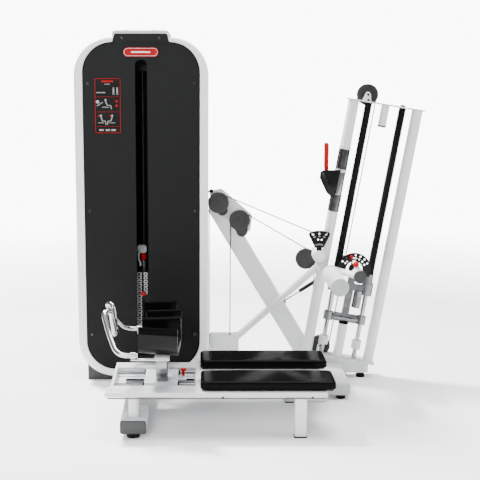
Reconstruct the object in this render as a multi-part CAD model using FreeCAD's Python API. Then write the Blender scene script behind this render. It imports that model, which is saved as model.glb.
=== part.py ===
import FreeCAD, Part
import math
import os
from FreeCAD import Vector

os.makedirs("parts", exist_ok=True)

# Cable-driven exercise machine.  Millimetres, +Z up, +Y away from the user's
# side, origin on the floor at the middle of the bounding box.

# ---------------------------------------------------------------- dimensions
OVERALL_WIDTH = 1870.0
OVERALL_DEPTH = 1255.0
OVERALL_HEIGHT = 1900.0
LEFT = -OVERALL_WIDTH / 2
FRONT = -OVERALL_DEPTH / 2
BACK = OVERALL_DEPTH / 2

FIT = 0.05        # radial running clearance of axles, pins and guide rods
GAP = 0.4         # air between pieces that move past each other
SHEET = 4.0       # wall of sheet covers and pans

# Weight tower: an upright rounded housing.
TOWER_W = 710.0
TOWER_X = LEFT + TOWER_W / 2
TOWER_FRONT = 257.5
TOWER_LOW = 30.0
TOWER_SHOULDER = 1865.0
TOWER_R = 200.0
COVER_W = 620.0
COVER_LOW = 70.0
COVER_TOP = 1841.0
COVER_R = 160.0
RING_DEPTH = 40.0
SLOT_W = 63.0
SLOT_TOP = 1750.0
SLOT_LOW = 150.0

# Weight stack.
STACK_Y = 410.0
PLATE_W, PLATE_D, PLATE_PITCH = 300.0, 140.0, 21.0
STACK_LOW = 180.0
RESTING_PLATES = 14
LIFTED_PLATES = 5
STEM_R = 11.0
STACK_ROD_R = 10.0
STACK_ROD_X = 110.0

# Pulleys and steel cable.
CABLE_R = 3.0
PULLEY_RIM, PULLEY_PITCH = 57.0, 50.0
SMALL_RIM, SMALL_PITCH = 42.0, 35.0
PULLEY_T = 24.0
AXLE_R = 6.0
CABLE_Y = STACK_Y         # plane of the load cable
TENSION_Y = 345.0         # plane of the tension cable

# Base beams and bench.
BEAM_W, BEAM_LOW, BEAM_TOP = 120.0, 25.0, 86.0
RIGHT_BEAM_X = 451.5
RIGHT_BEAM_FRONT = -57.5
REAR_BEAM_Y = 420.0
TRAY_LEFT, TRAY_RIGHT = -695.0, 319.5
TRAY_TOP, TRAY_REAR = 219.0, -115.5
TRAY_LIP = 20.0
WELL_X0, WELL_X1, WELL_Y0, WELL_Y1, WELL_LOW = -682.0, -292.0, -500.0, -205.0, 186.0
PAD_X0, PAD_X1, PAD_TOP, PAD_BOARD = -269.0, 364.5, 267.0, 8.0
FRONT_PAD_Y0, FRONT_PAD_Y1 = -592.5, -389.5
REAR_PAD_Y0, REAR_PAD_Y1 = -242.5, -42.5

# Forearm support on its slide.
RAIL_YS = (-445.0, -245.0)
RAIL_R = 7.0
RAIL_Z = 206.0
BLOCK_X0, BLOCK_X1 = -538.0, -378.0
POST_X, POST_Y = -453.0, -372.0
SLIDE_LEFT, SLIDE_RIGHT = 100.0, 40.0     # travel of the support from rest

# Leaning guide tower: local axes are ACROSS, Y and UP the tower.
LEAN = 9.4
LEAN_X, LEAN_Y, LEAN_Z = 499.5, 367.5, 117.0
LEAN_LENGTH = 1410.0
SIDE_TUBE_A, SIDE_TUBE_R = 174.0, 28.5
ROD_A, ROD_R = 92.5, 12.5
LOOP_A = -100.7            # pulleys of the leaning tower, across
TOP_PULLEY_S, LOW_PULLEY_S = 1451.5, 34.0
CROSS_TUBE_S = 222.0
BEARING_S0, BEARING_S1, NECK_S1 = 368.0, 436.0, 488.0
HUB_X, HUB_Z = 575.0, 618.3
ROLLER_X, ROLLER_Z, ROLLER_R = 442.0, 602.6, 46.0
ROLLER_Y0, ROLLER_Y1 = -82.5, 292.0
SECTOR_Y = 316.0

# Brace between the towers.
BEAM_Y0, BEAM_Y1 = 430.0, 490.0
TENSION_PULLEY = (-169.4, 984.0)
BRACE_PULLEY = (-51.0, 877.7)
HUB_PULLEY = (319.0, 661.7)
SIDE_HUB_X, SIDE_HUB_Z = 381.0, 692.0
SPRING_FOOT = (204.0, 394.0)
SPRING_HEAD = (423.6, 536.6)
SPRING_Y = 516.0


# ------------------------------------------------------------------- helpers
def box(x0, x1, y0, y1, z0, z1):
    return Part.makeBox(x1 - x0, y1 - y0, z1 - z0, Vector(x0, y0, z0))


def rod(start, end, radius):
    a, b = Vector(*start), Vector(*end)
    return Part.makeCylinder(radius, (b - a).Length, a, b - a)


def pipe(start, end, radius, bore):
    return rod(start, end, radius).cut(rod(start, end, bore))


def ball(centre, radius):
    return Part.makeSphere(radius, Vector(*centre))


def fuse(shapes):
    joined = shapes[0]
    for piece in shapes[1:]:
        joined = joined.fuse(piece)
    return joined.removeSplitter()


def cut(shape, *tools):
    for tool in tools:
        shape = shape.cut(tool)
    return shape


def group(shapes):
    return Part.makeCompound(shapes)


def outline(points):
    corners = [Vector(*p) for p in points]
    return Part.Face(Part.makePolygon(corners + corners[:1]))


def plate_xz(points, y0, y1):
    """Flat plate from an outline in X and Z."""
    return outline([(x, y0, z) for x, z in points]).extrude(Vector(0, y1 - y0, 0))


def soften(shape, radius, keep):
    """Round the edges that keep() picks, or leave the shape as it is."""
    edges = [e for e in shape.Edges if keep(e)]
    return shape.makeFillet(radius, edges) if edges else shape


def along(axis):
    """Edge test: straight and parallel to an axis."""
    def test(edge):
        if len(edge.Vertexes) != 2 or not isinstance(edge.Curve, Part.Line):
            return False
        run = edge.Vertexes[1].Point - edge.Vertexes[0].Point
        return abs(abs(run.normalize().dot(axis)) - 1) < 1e-6
    return test


def on_plane_y(y):
    """Edge test: lies in the plane at this y."""
    def test(edge):
        return abs(edge.BoundBox.YMin - y) < 0.1 and abs(edge.BoundBox.YMax - y) < 0.1
    return test


AXIS_X, AXIS_Y, AXIS_Z = Vector(1, 0, 0), Vector(0, 1, 0), Vector(0, 0, 1)


def rounded_box(x0, x1, y0, y1, z0, z1, radius, axis):
    return soften(box(x0, x1, y0, y1, z0, z1), radius, along(axis))


def rounded_panel(half, low, high, radius, y0, y1):
    """Upright slab with round corners, centred on the weight tower."""
    return rounded_box(TOWER_X - half, TOWER_X + half, y0, y1, low, high, radius, AXIS_Y)


def leaning(shape):
    """Carry a shape from the leaning tower's local axes into place."""
    moved = shape.copy()
    moved.rotate(Vector(0, 0, 0), AXIS_Y, LEAN)
    moved.translate(Vector(LEAN_X, LEAN_Y, LEAN_Z))
    return moved


def lean_point(a, s):
    """X and Z of a point given across and up the leaning tower."""
    t = math.radians(LEAN)
    return (LEAN_X + a * math.cos(t) + s * math.sin(t), LEAN_Z - a * math.sin(t) + s * math.cos(t))


def tangent(first, second):
    """Heading of the line that touches two circles; a circle is x, z, signed radius."""
    dx, dz = second[0] - first[0], second[1] - first[1]
    return math.atan2(dz, dx) - math.asin((second[2] - first[2]) / math.hypot(dx, dz))


def touch(circle, heading, y):
    x, z, r = circle
    return Vector(x + r * math.sin(heading), y, z - r * math.cos(heading))


def cable(stops, y):
    """Round cable over pulleys in one upright plane.

    A stop is x, z and the signed radius: plus turns it anticlockwise, minus
    clockwise, and 0 is a plain end."""
    headings = [tangent(a, b) for a, b in zip(stops, stops[1:])]
    edges = []
    for i, heading in enumerate(headings):
        start, end = touch(stops[i], heading, y), touch(stops[i + 1], heading, y)
        edges.append(Part.LineSegment(start, end).toShape())
        if i + 1 < len(headings):
            turn = (headings[i + 1] - heading) % (2 * math.pi)
            turn -= 2 * math.pi if stops[i + 1][2] < 0 else 0
            middle = touch(stops[i + 1], heading + turn / 2, y)
            leave = touch(stops[i + 1], headings[i + 1], y)
            edges.append(Part.Arc(end, middle, leave).toShape())
    path = Part.Wire(edges)
    begin = touch(stops[0], headings[0], y)
    direction = Vector(math.cos(headings[0]), 0, math.sin(headings[0]))
    ring = Part.Wire(Part.Circle(begin, direction, CABLE_R).toShape())
    return path.makePipeShell([ring], True, False)


def pulley(x, z, y, rim=PULLEY_RIM, pitch=PULLEY_PITCH):
    """Moulded sheave with a round-bottomed groove, a dished web and a bore."""
    half = PULLEY_T / 2
    wheel = rod((x, y - half, z), (x, y + half, z), rim)
    wheel = soften(wheel, 1.5, lambda e: abs(e.Length - 2 * math.pi * rim) < 0.1)
    groove = Part.makeTorus(pitch, CABLE_R + 1.2, Vector(x, y, z), AXIS_Y)
    flare = pipe((x, y - CABLE_R - 1.2, z), (x, y + CABLE_R + 1.2, z), rim + 1, pitch)
    dishes = [pipe((x, y - half - 1, z), (x, y - half + 3, z), pitch - 8, 16),
              pipe((x, y + half - 3, z), (x, y + half + 1, z), pitch - 8, 16)]
    bore = rod((x, y - half - 1, z), (x, y + half + 1, z), AXLE_R + FIT)
    return cut(wheel, groove, flare, bore, *dishes)


def axle(x, z, y0, y1, head=True):
    """Pulley axle with a hexagon head at its near end."""
    pin = rod((x, y0, z), (x, y1, z), AXLE_R)
    if not head:
        return pin
    return fuse([pin, hexagon(x, z, y0 - 6, y0, 9.5)])


def hexagon(x, z, y0, y1, radius):
    turns = [math.radians(60 * i) for i in range(6)]
    return plate_xz([(x + radius * math.cos(a), z + radius * math.sin(a)) for a in turns], y0, y1)


def cheek(x, z, y0, y1, radius, foot_x0, foot_x1, foot_z):
    """Pulley side plate: a round head on an axle, running to a flat foot."""
    head = rod((x, y0, z), (x, y1, z), radius)
    body = plate_xz([(x - radius, z), (x + radius, z), (foot_x1, foot_z), (foot_x0, foot_z)], y0, y1)
    return cut(fuse([head, body]), rod((x, y0 - 1, z), (x, y1 + 1, z), AXLE_R))


def sector(x, z, y0, y1, inner, outer, low_deg, high_deg):
    """Flat ring segment, angles anticlockwise from +X."""
    sweep = high_deg - low_deg
    ring = Part.makeCylinder(outer, y1 - y0, Vector(0, 0, 0), AXIS_Z, sweep)
    ring = ring.cut(Part.makeCylinder(inner, y1 - y0, Vector(0, 0, 0), AXIS_Z))
    ring.rotate(Vector(0, 0, 0), AXIS_Z, low_deg)
    ring.rotate(Vector(0, 0, 0), AXIS_X, 90)
    ring.translate(Vector(x, y1, z))
    return ring


def polar(x, z, radius, degrees):
    a = math.radians(degrees)
    return x + radius * math.cos(a), z + radius * math.sin(a)


pieces = {}

# --------------------------------------------------------------- base and feet
base_left_x = TOWER_X - 2.5


def box_tube(x0, x1, y0, y1, z0, z1, along_y):
    """Rectangular tube with 6 mm corners and a 3 mm wall."""
    axis = AXIS_Y if along_y else AXIS_X
    outer = rounded_box(x0, x1, y0, y1, z0, z1, 6, axis)
    ends = (0, 0, 3, 3) if along_y else (3, 3, 0, 0)
    inner = rounded_box(x0 + ends[2], x1 - ends[3], y0 + ends[0], y1 - ends[1], z0 + 3, z1 - 3, 3, axis)
    return outer.cut(inner)


CAP_T = 12.0
pieces["left_base_beam"] = box_tube(base_left_x - BEAM_W / 2, base_left_x + BEAM_W / 2,
                                   FRONT + CAP_T, TOWER_FRONT, BEAM_LOW, BEAM_TOP, True)
pieces["right_base_beam"] = box_tube(RIGHT_BEAM_X - BEAM_W / 2, RIGHT_BEAM_X + BEAM_W / 2,
                                    RIGHT_BEAM_FRONT + CAP_T, 560, BEAM_LOW, BEAM_TOP, True)
pieces["rear_base_beam"] = box_tube(TOWER_X + COVER_W / 2, RIGHT_BEAM_X - BEAM_W / 2,
                                   REAR_BEAM_Y - 40, REAR_BEAM_Y + 40, BEAM_LOW, BEAM_TOP, False)


def beam_cap(x, y):
    plug = rounded_box(x - BEAM_W / 2 - 1, x + BEAM_W / 2 + 1, y, y + CAP_T, BEAM_LOW - 1, BEAM_TOP + 1,
                       12, AXIS_Y)
    return soften(plug, 5, lambda e: abs(e.BoundBox.YMax - y) < 0.1)


pieces["left_end_cap"] = beam_cap(base_left_x, FRONT)
pieces["right_end_cap"] = beam_cap(RIGHT_BEAM_X, RIGHT_BEAM_FRONT)

LEG_X, LEG_W = 198.0, 56.0
feet_at = [(base_left_x, FRONT + 45, BEAM_LOW, 30),
           (RIGHT_BEAM_X + 15, RIGHT_BEAM_FRONT + 40, BEAM_LOW, 23),
           (RIGHT_BEAM_X, 520, BEAM_LOW, 30)]
feet = [Part.makeCone(r + 2, r, h, Vector(x, y, 0)) for x, y, h, r in feet_at]

# ------------------------------------------------------------- weight tower
RING_BACK = TOWER_FRONT + RING_DEPTH
REAR_RING = BACK - RING_DEPTH


def tower_ring(y0, front_face):
    outer = rounded_panel(TOWER_W / 2, TOWER_LOW, TOWER_SHOULDER, TOWER_R, y0, y0 + RING_DEPTH)
    face = y0 if front_face else y0 + RING_DEPTH
    outer = soften(outer, 14, on_plane_y(face))
    return outer.cut(rounded_panel(COVER_W / 2, COVER_LOW, COVER_TOP, COVER_R, y0 - 1, y0 + RING_DEPTH + 1))


pieces["tower_front_frame"] = tower_ring(TOWER_FRONT, True)
pieces["tower_rear_frame"] = tower_ring(REAR_RING, False)

SKIN_IN = 6.0
SMALL_CABLE_Z = 135.0
skin = rounded_panel(TOWER_W / 2 - SKIN_IN, TOWER_LOW + SKIN_IN, TOWER_SHOULDER - SKIN_IN,
                     TOWER_R - SKIN_IN, RING_BACK, REAR_RING)
hollow = rounded_panel(TOWER_W / 2 - SKIN_IN - SHEET, TOWER_LOW + SKIN_IN + SHEET,
                       TOWER_SHOULDER - SKIN_IN - SHEET, TOWER_R - SKIN_IN - SHEET,
                       RING_BACK - 1, REAR_RING + 1)
cable_hole = rod((TOWER_X + 200, CABLE_Y, SMALL_CABLE_Z), (TOWER_X + 400, CABLE_Y, SMALL_CABLE_Z), 12)
plinth_box = box(TOWER_X - COVER_W / 2, TOWER_X + COVER_W / 2, RING_BACK, REAR_RING, -1, 130)
pieces["tower_side_shell"] = cut(skin, hollow, cable_hole, plinth_box)

PLINTH_T = 8.0
plinth = box(TOWER_X - COVER_W / 2, TOWER_X + COVER_W / 2, RING_BACK, REAR_RING, 0, 130)
plinth_well = box(TOWER_X - COVER_W / 2 + PLINTH_T, TOWER_X + COVER_W / 2 - PLINTH_T,
                  RING_BACK + PLINTH_T, REAR_RING - PLINTH_T, PLINTH_T, 131)
pieces["tower_plinth"] = plinth.cut(plinth_well)

CAP_HALF = 150.0
cap = box(TOWER_X - CAP_HALF, TOWER_X + CAP_HALF, TOWER_FRONT + 8, BACK - 8, TOWER_SHOULDER, OVERALL_HEIGHT)
cap = soften(cap, 18, lambda e: along(AXIS_Y)(e) and e.BoundBox.ZMax > OVERALL_HEIGHT - 1)
pieces["tower_top_cap"] = cap


def cover(y0, y1, face_at_low_y):
    """Shallow moulded pan that fills a ring of the tower."""
    play = 0.5
    shell = rounded_panel(COVER_W / 2 - play, COVER_LOW + play, COVER_TOP - play, COVER_R - play, y0, y1)
    face = y0 if face_at_low_y else y1
    shell = soften(shell, 3, on_plane_y(face))
    inner0, inner1 = (y0 + SHEET, y1 + 1) if face_at_low_y else (y0 - 1, y1 - SHEET)
    inset = play + SHEET
    pan = rounded_panel(COVER_W / 2 - inset, COVER_LOW + inset, COVER_TOP - inset, COVER_R - inset,
                        inner0, inner1)
    return shell.cut(pan)


FACE_Y = TOWER_FRONT + 4.5
slot_arch = SLOT_TOP - SLOT_W / 2
slot = fuse([box(TOWER_X - SLOT_W / 2, TOWER_X + SLOT_W / 2, FACE_Y - 1, FACE_Y + 60, SLOT_LOW, slot_arch),
             rod((TOWER_X, FACE_Y - 1, slot_arch), (TOWER_X, FACE_Y + 60, slot_arch), SLOT_W / 2)])
pieces["front_cover"] = cover(FACE_Y, FACE_Y + 30, True).cut(slot)
VENT_IN, VENT_OUT = 70.0, 150.0
vents = [rounded_box(TOWER_X + start, TOWER_X + start + VENT_OUT - VENT_IN, BACK - 20, BACK, z, z + 14,
                     6.9, AXIS_Y)
         for start in (-VENT_OUT, VENT_IN) for z in range(1180, 1480, 50)]
pieces["rear_cover"] = cut(cover(BACK - 34.5, BACK - 4.5, False), *vents)

TAB_T = 4.0
tab = plate_xz([(TOWER_X - 150, 1838), (TOWER_X + 150, 1838), (TOWER_X + 137, 1883), (TOWER_X - 137, 1883)],
               TOWER_FRONT - TAB_T, TOWER_FRONT)
tab = soften(tab, 8, lambda e: along(AXIS_Y)(e) and e.BoundBox.ZMax > 1880)
tab_screws_at = [(TOWER_X - 97, 1860), (TOWER_X + 97, 1860)]
pieces["cover_tab"] = cut(tab, *[rod((x, 0, z), (x, 400, z), 4) for x, z in tab_screws_at])

SCREW_X = 282.0
screw_at = [(TOWER_X + side * SCREW_X, z) for side in (-1, 1) for z in (268, 950, 1626)]


def cap_screw(x, z, face_y, depth):
    """Domed socket screw driven along +Y into a face."""
    head = soften(rod((x, face_y - 4, z), (x, face_y, z), 8), 2, lambda e: e.BoundBox.YMax < face_y - 3)
    return fuse([head.cut(hexagon(x, z, face_y - 5, face_y - 1.5, 3.2)),
                 rod((x, face_y, z), (x, face_y + depth, z), 4)])


holes = [rod((x, FACE_Y - 1, z), (x, FACE_Y + SHEET + 1, z), 4) for x, z in screw_at]
pieces["front_cover"] = cut(pieces["front_cover"], *holes)
tower_screws = [cap_screw(x, z, FACE_Y, SHEET + 4) for x, z in screw_at]
tower_screws += [cap_screw(x, z, TOWER_FRONT - TAB_T, TAB_T) for x, z in tab_screws_at]
pieces["cover_screws"] = group(tower_screws)

pieces["placard"] = rounded_box(TOWER_X - 247, TOWER_X - 106, FACE_Y - 2, FACE_Y, 1363, 1656, 6, AXIS_Y)
pieces["badge"] = rounded_box(TOWER_X - 92, TOWER_X + 92, FACE_Y - 3, FACE_Y, 1764, 1812, 10, AXIS_Y)

# --------------------------------------------------------------- weight stack
PLATE_T = PLATE_PITCH - GAP
STACK_MOVE_LOW = STACK_LOW + RESTING_PLATES * PLATE_PITCH
HEAD_LOW = STACK_MOVE_LOW + LIFTED_PLATES * PLATE_PITCH
PIN_Z = STACK_MOVE_LOW + PLATE_T / 2
PIN_R = 4.0
PLATE_FRONT = STACK_Y - PLATE_D / 2


def weight_plate(z, drilled):
    slab = rounded_box(TOWER_X - PLATE_W / 2, TOWER_X + PLATE_W / 2, PLATE_FRONT, STACK_Y + PLATE_D / 2,
                       z, z + PLATE_T, 8, AXIS_Z)
    holes_at = [(-STACK_ROD_X, STACK_ROD_R), (STACK_ROD_X, STACK_ROD_R), (0, STEM_R)]
    tools = [rod((TOWER_X + x, STACK_Y, z - 1), (TOWER_X + x, STACK_Y, z + 30), r + 0.6)
             for x, r in holes_at]
    if drilled:
        middle = z + PLATE_T / 2
        tools.append(rod((TOWER_X, PLATE_FRONT - 1, middle), (TOWER_X, STACK_Y, middle), PIN_R + FIT))
    return cut(slab, *tools)


def plate_pile(low, count):
    return group([weight_plate(low + i * PLATE_PITCH, True) for i in range(count)])


pieces["resting_plates"] = plate_pile(STACK_LOW, RESTING_PLATES)
pieces["lifted_plates"] = plate_pile(STACK_MOVE_LOW, LIFTED_PLATES)

STEM_TOP = 700.0
head = weight_plate(HEAD_LOW, False)
head_hole = rod((TOWER_X, STACK_Y, HEAD_LOW - 1), (TOWER_X, STACK_Y, HEAD_LOW + 30), STEM_R)
pieces["head_plate"] = head.cut(head_hole)
stem = rod((TOWER_X, STACK_Y, STACK_LOW + 4), (TOWER_X, STACK_Y, STEM_TOP), STEM_R)
stem = stem.cut(rod((TOWER_X, STACK_Y - 20, PIN_Z), (TOWER_X, STACK_Y + 20, PIN_Z), PIN_R + FIT))
pieces["selector_stem"] = stem.cut(pieces["head_plate"])
socket = soften(rod((TOWER_X, STACK_Y, STEM_TOP), (TOWER_X, STACK_Y, STEM_TOP + 42), 15), 3, lambda e: True)
pieces["stem_head"] = socket

PIN_FRONT = PLATE_FRONT - 12
pin_shaft = rod((TOWER_X, PIN_FRONT, PIN_Z), (TOWER_X, STACK_Y + 7, PIN_Z), PIN_R)
pin_knob = soften(rod((TOWER_X, PIN_FRONT - 26, PIN_Z), (TOWER_X, PIN_FRONT, PIN_Z), 13), 4, lambda e: True)
pieces["selector_pin"] = fuse([pin_shaft, pin_knob])

STACK_ROD_TOP = 1710.0
rods_low = 60.0
pieces["stack_guide_rods"] = group([rod((TOWER_X + side * STACK_ROD_X, STACK_Y, rods_low),
                                       (TOWER_X + side * STACK_ROD_X, STACK_Y, STACK_ROD_TOP), STACK_ROD_R)
                                   for side in (-1, 1)])
buffer_low = STACK_LOW - 25
pieces["stack_buffers"] = group([pipe((TOWER_X + side * STACK_ROD_X, STACK_Y, buffer_low),
                                     (TOWER_X + side * STACK_ROD_X, STACK_Y, STACK_LOW), 22, STACK_ROD_R)
                                for side in (-1, 1)])
foot_beam = box(TOWER_X - 200, TOWER_X + 190, STACK_Y - 30, STACK_Y + 30, buffer_low - 60, buffer_low)
foot_legs = [box(x - 20, x + 20, STACK_Y - 30, STACK_Y + 30, PLINTH_T, buffer_low - 60)
             for x in (TOWER_X - 180, TOWER_X + 170)]
foot_beam = fuse([foot_beam] + foot_legs)
pieces["stack_base"] = cut(foot_beam, *pieces["stack_guide_rods"].Solids)

# Head beam at the top of the tower: holds the rods and the two head pulleys.
HEAD_PULLEYS = (TOWER_X + PULLEY_PITCH, TOWER_X + PULLEY_PITCH + 118)
HEAD_PULLEY_Z = 1780.0
RISER_X = HEAD_PULLEYS[1] + PULLEY_PITCH
YOKE_LOW, YOKE_TOP, SHELF_TOP = 1690.0, 1815.0, 1712.0
yoke = [box(TOWER_X - 160, TOWER_X + 260, y0, y0 + 6, YOKE_LOW, YOKE_TOP)
        for y0 in (STACK_Y - 20, STACK_Y + 14)]
yoke.append(box(TOWER_X - 160, TOWER_X + 150, STACK_Y - 14, STACK_Y + 14, YOKE_LOW, SHELF_TOP))
yoke += [box(TOWER_X + x - 3, TOWER_X + x + 3, RING_BACK, REAR_RING, YOKE_LOW, YOKE_TOP)
         for x in (-163, 263)]
yoke = cut(fuse(yoke), *pieces["stack_guide_rods"].Solids)
yoke = cut(yoke, *[rod((x, 300, HEAD_PULLEY_Z), (x, 500, HEAD_PULLEY_Z), AXLE_R) for x in HEAD_PULLEYS])
pieces["head_beam"] = yoke.cut(rod((TOWER_X, STACK_Y, YOKE_LOW - 1), (TOWER_X, STACK_Y, SHELF_TOP + 1), 8))
for name, x in zip(("head_pulley_left", "head_pulley_right"), HEAD_PULLEYS):
    pieces[name] = pulley(x, HEAD_PULLEY_Z, CABLE_Y)

# Base pulleys: one in the tower, one in the low housing beside it.
SMALL_Z = SMALL_CABLE_Z + SMALL_PITCH
BASE_PULLEYS = (RISER_X + SMALL_PITCH, BRACE_PULLEY[0] - PULLEY_PITCH - SMALL_PITCH)
for name, x in zip(("base_pulley_left", "base_pulley_right"), BASE_PULLEYS):
    pieces[name] = pulley(x, SMALL_Z, CABLE_Y, SMALL_RIM, SMALL_PITCH)
HALF_GAP = PULLEY_T / 2 + 1
CHEEK_T = 5.0


def base_cheeks(x, foot_z):
    return [cheek(x, SMALL_Z, y0, y0 + CHEEK_T, 14, x - 25, x + 25, foot_z)
            for y0 in (CABLE_Y - HALF_GAP - CHEEK_T, CABLE_Y + HALF_GAP)]


cheeks = base_cheeks(BASE_PULLEYS[0], PLINTH_T) + base_cheeks(BASE_PULLEYS[1], BEAM_TOP)
pieces["base_pulley_cheeks"] = group(cheeks)

HOUSING_X0, HOUSING_X1, HOUSING_TOP = -215.0, -52.0, 227.0
housing = box(HOUSING_X0, HOUSING_X1, REAR_BEAM_Y - 44, REAR_BEAM_Y + 44, BEAM_TOP, HOUSING_TOP)
housing = soften(housing, 12, lambda e: along(AXIS_Y)(e) and e.BoundBox.ZMax > HOUSING_TOP - 1)
housing_in = box(HOUSING_X0 + 3, HOUSING_X1 - 3, REAR_BEAM_Y - 41, REAR_BEAM_Y + 41,
                 BEAM_TOP - 1, HOUSING_TOP - 3)
drop_x = BRACE_PULLEY[0] - PULLEY_PITCH
housing_slots = [rod((drop_x, CABLE_Y, 200), (drop_x, CABLE_Y, 240), 8),
                 rod((HOUSING_X0 - 5, CABLE_Y, SMALL_CABLE_Z),
                     (HOUSING_X0 + 20, CABLE_Y, SMALL_CABLE_Z), 10)]
pieces["base_pulley_housing"] = cut(housing, housing_in, *housing_slots)

# ------------------------------------------------------------- bench and pads
tray_front = box(TRAY_LEFT - 16.5, TRAY_RIGHT, FRONT + 15, FRONT + 110, TRAY_TOP - SHEET, TRAY_TOP)
tray_main = box(TRAY_LEFT, TRAY_RIGHT, FRONT + 110, TRAY_REAR, TRAY_TOP - SHEET, TRAY_TOP)
tray_wing = box(WELL_X1 + 2, TRAY_RIGHT, TRAY_REAR, REAR_PAD_Y1 + 10, TRAY_TOP - SHEET, TRAY_TOP)
lips = [box(TRAY_LEFT - 16.5, TRAY_RIGHT, FRONT + 15, FRONT + 19, TRAY_TOP - TRAY_LIP, TRAY_TOP),
        box(TRAY_RIGHT - SHEET, TRAY_RIGHT, FRONT + 15, REAR_PAD_Y1 + 10, TRAY_TOP - TRAY_LIP, TRAY_TOP),
        box(WELL_X1 + 2, TRAY_RIGHT, REAR_PAD_Y1 + 6, REAR_PAD_Y1 + 10, TRAY_TOP - TRAY_LIP, TRAY_TOP),
        box(TRAY_LEFT, WELL_X1 + 2, TRAY_REAR - SHEET, TRAY_REAR, TRAY_TOP - TRAY_LIP, TRAY_TOP)]
well_out = box(WELL_X0 - SHEET, WELL_X1 + SHEET, WELL_Y0 - SHEET, WELL_Y1 + SHEET,
               WELL_LOW - SHEET, TRAY_TOP)
well_in = box(WELL_X0, WELL_X1, WELL_Y0, WELL_Y1, WELL_LOW, TRAY_TOP + 1)
tray = fuse([tray_front, tray_main, tray_wing, well_out] + lips).cut(well_in)
pieces["bench_tray"] = tray

left_post = rounded_box(base_left_x - 24, base_left_x + 24, FRONT + 45, FRONT + 125,
                        BEAM_TOP, WELL_LOW - SHEET, 20, AXIS_Z)
left_post_top = rounded_box(base_left_x - 24, base_left_x + 24, FRONT + 45, FRONT + 120,
                            WELL_LOW - SHEET, TRAY_TOP - SHEET, 20, AXIS_Z)
pieces["bench_front_post"] = cut(fuse([left_post, left_post_top]), tray)
pieces["bench_rear_post"] = rounded_box(base_left_x - 24, base_left_x + 24, TRAY_REAR - 84, TRAY_REAR - 8,
                                       BEAM_TOP, TRAY_TOP - SHEET, 10, AXIS_Z).cut(tray)
LEG_FOOT = 6.0
LEG_FRONTS = (FRONT + 19, REAR_PAD_Y1 - 60)
legs = [rounded_box(LEG_X - LEG_W / 2, LEG_X + LEG_W / 2, y0, y0 + 50, LEG_FOOT, TRAY_TOP - SHEET,
                    10, AXIS_Z) for y0 in LEG_FRONTS]
tie = box(LEG_X + LEG_W / 2, RIGHT_BEAM_X - BEAM_W / 2, REAR_PAD_Y1 - 55, REAR_PAD_Y1 - 15,
          BEAM_LOW + 5, BEAM_TOP - 5)
pieces["bench_legs"] = group(legs)
pieces["bench_tie"] = tie
leg_pads = [rounded_box(LEG_X - LEG_W / 2 - 2, LEG_X + LEG_W / 2 + 2, y0 - 2, y0 + 52, 0, LEG_FOOT,
                        10, AXIS_Z) for y0 in LEG_FRONTS]

BOARD_IN = 12.0
for name, y0, y1 in (("front_pad", FRONT_PAD_Y0, FRONT_PAD_Y1), ("rear_pad", REAR_PAD_Y0, REAR_PAD_Y1)):
    pad_board = rounded_box(PAD_X0 + BOARD_IN, PAD_X1 - BOARD_IN, y0 + BOARD_IN, y1 - BOARD_IN,
                            TRAY_TOP, TRAY_TOP + PAD_BOARD, 20, AXIS_Z)
    cushion = rounded_box(PAD_X0, PAD_X1, y0, y1, TRAY_TOP + PAD_BOARD, PAD_TOP, 24, AXIS_Z)
    cushion = soften(cushion, 14, lambda e: e.BoundBox.ZMin > PAD_TOP - 0.1)
    pieces[name] = fuse([pad_board, cushion])

# ------------------------------------------------------- sliding arm support
rail_ends = (WELL_X0, WELL_X1)
pieces["slide_rails"] = group([rod((rail_ends[0], y, RAIL_Z), (rail_ends[1], y, RAIL_Z), RAIL_R)
                               for y in RAIL_YS])

BAR_Y0, BAR_Y1, BAR_TOP = -366.0, -336.0, 202.0
stop_bar = box(WELL_X0 + 50, WELL_X1 - 4, BAR_Y0, BAR_Y1, WELL_LOW, BAR_TOP)
PIN_X, PIN_Y = -352.0, -351.0
SLOT_R = 4.4
pin_slot = rounded_box(PIN_X - SLIDE_LEFT - SLOT_R - 0.6, PIN_X + SLIDE_RIGHT + SLOT_R + 0.6,
                       PIN_Y - SLOT_R, PIN_Y + SLOT_R, WELL_LOW + 2, BAR_TOP + 1, SLOT_R - 0.01, AXIS_Z)
pieces["stop_bar"] = stop_bar.cut(pin_slot)

block = box(BLOCK_X0, BLOCK_X1, RAIL_YS[0] - 16, RAIL_YS[1] + 16, RAIL_Z - 12, RAIL_Z + 14)
channel = box(BLOCK_X0 - 1, BLOCK_X1 + 1, BAR_Y0 - 2, BAR_Y1 + 2, RAIL_Z - 13, BAR_TOP + 1.5)
rail_bores = [rod((BLOCK_X0 - 1, y, RAIL_Z), (BLOCK_X1 + 1, y, RAIL_Z), RAIL_R + FIT) for y in RAIL_YS]
bracket = box(BLOCK_X1, BLOCK_X1 + 40, PIN_Y - 16, PIN_Y + 16, BAR_TOP + 2, BAR_TOP + 8)
pin_guide = rod((PIN_X, PIN_Y, BAR_TOP + 8), (PIN_X, PIN_Y, BAR_TOP + 20), 9)
pin_bore = rod((PIN_X, PIN_Y, BAR_TOP), (PIN_X, PIN_Y, BAR_TOP + 30), 4 + FIT)
pieces["support_block"] = cut(fuse([block.cut(channel), bracket, pin_guide]), pin_bore, *rail_bores)
wipers = []
for x in (BLOCK_X0 - 8, BLOCK_X1):
    for y in RAIL_YS:
        wiper = rod((x, y, RAIL_Z), (x + 8, y, RAIL_Z), 14)
        wipers.append(wiper.cut(rod((x - 1, y, RAIL_Z), (x + 9, y, RAIL_Z), RAIL_R + FIT)))
pieces["rail_wipers"] = group(wipers)

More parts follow.
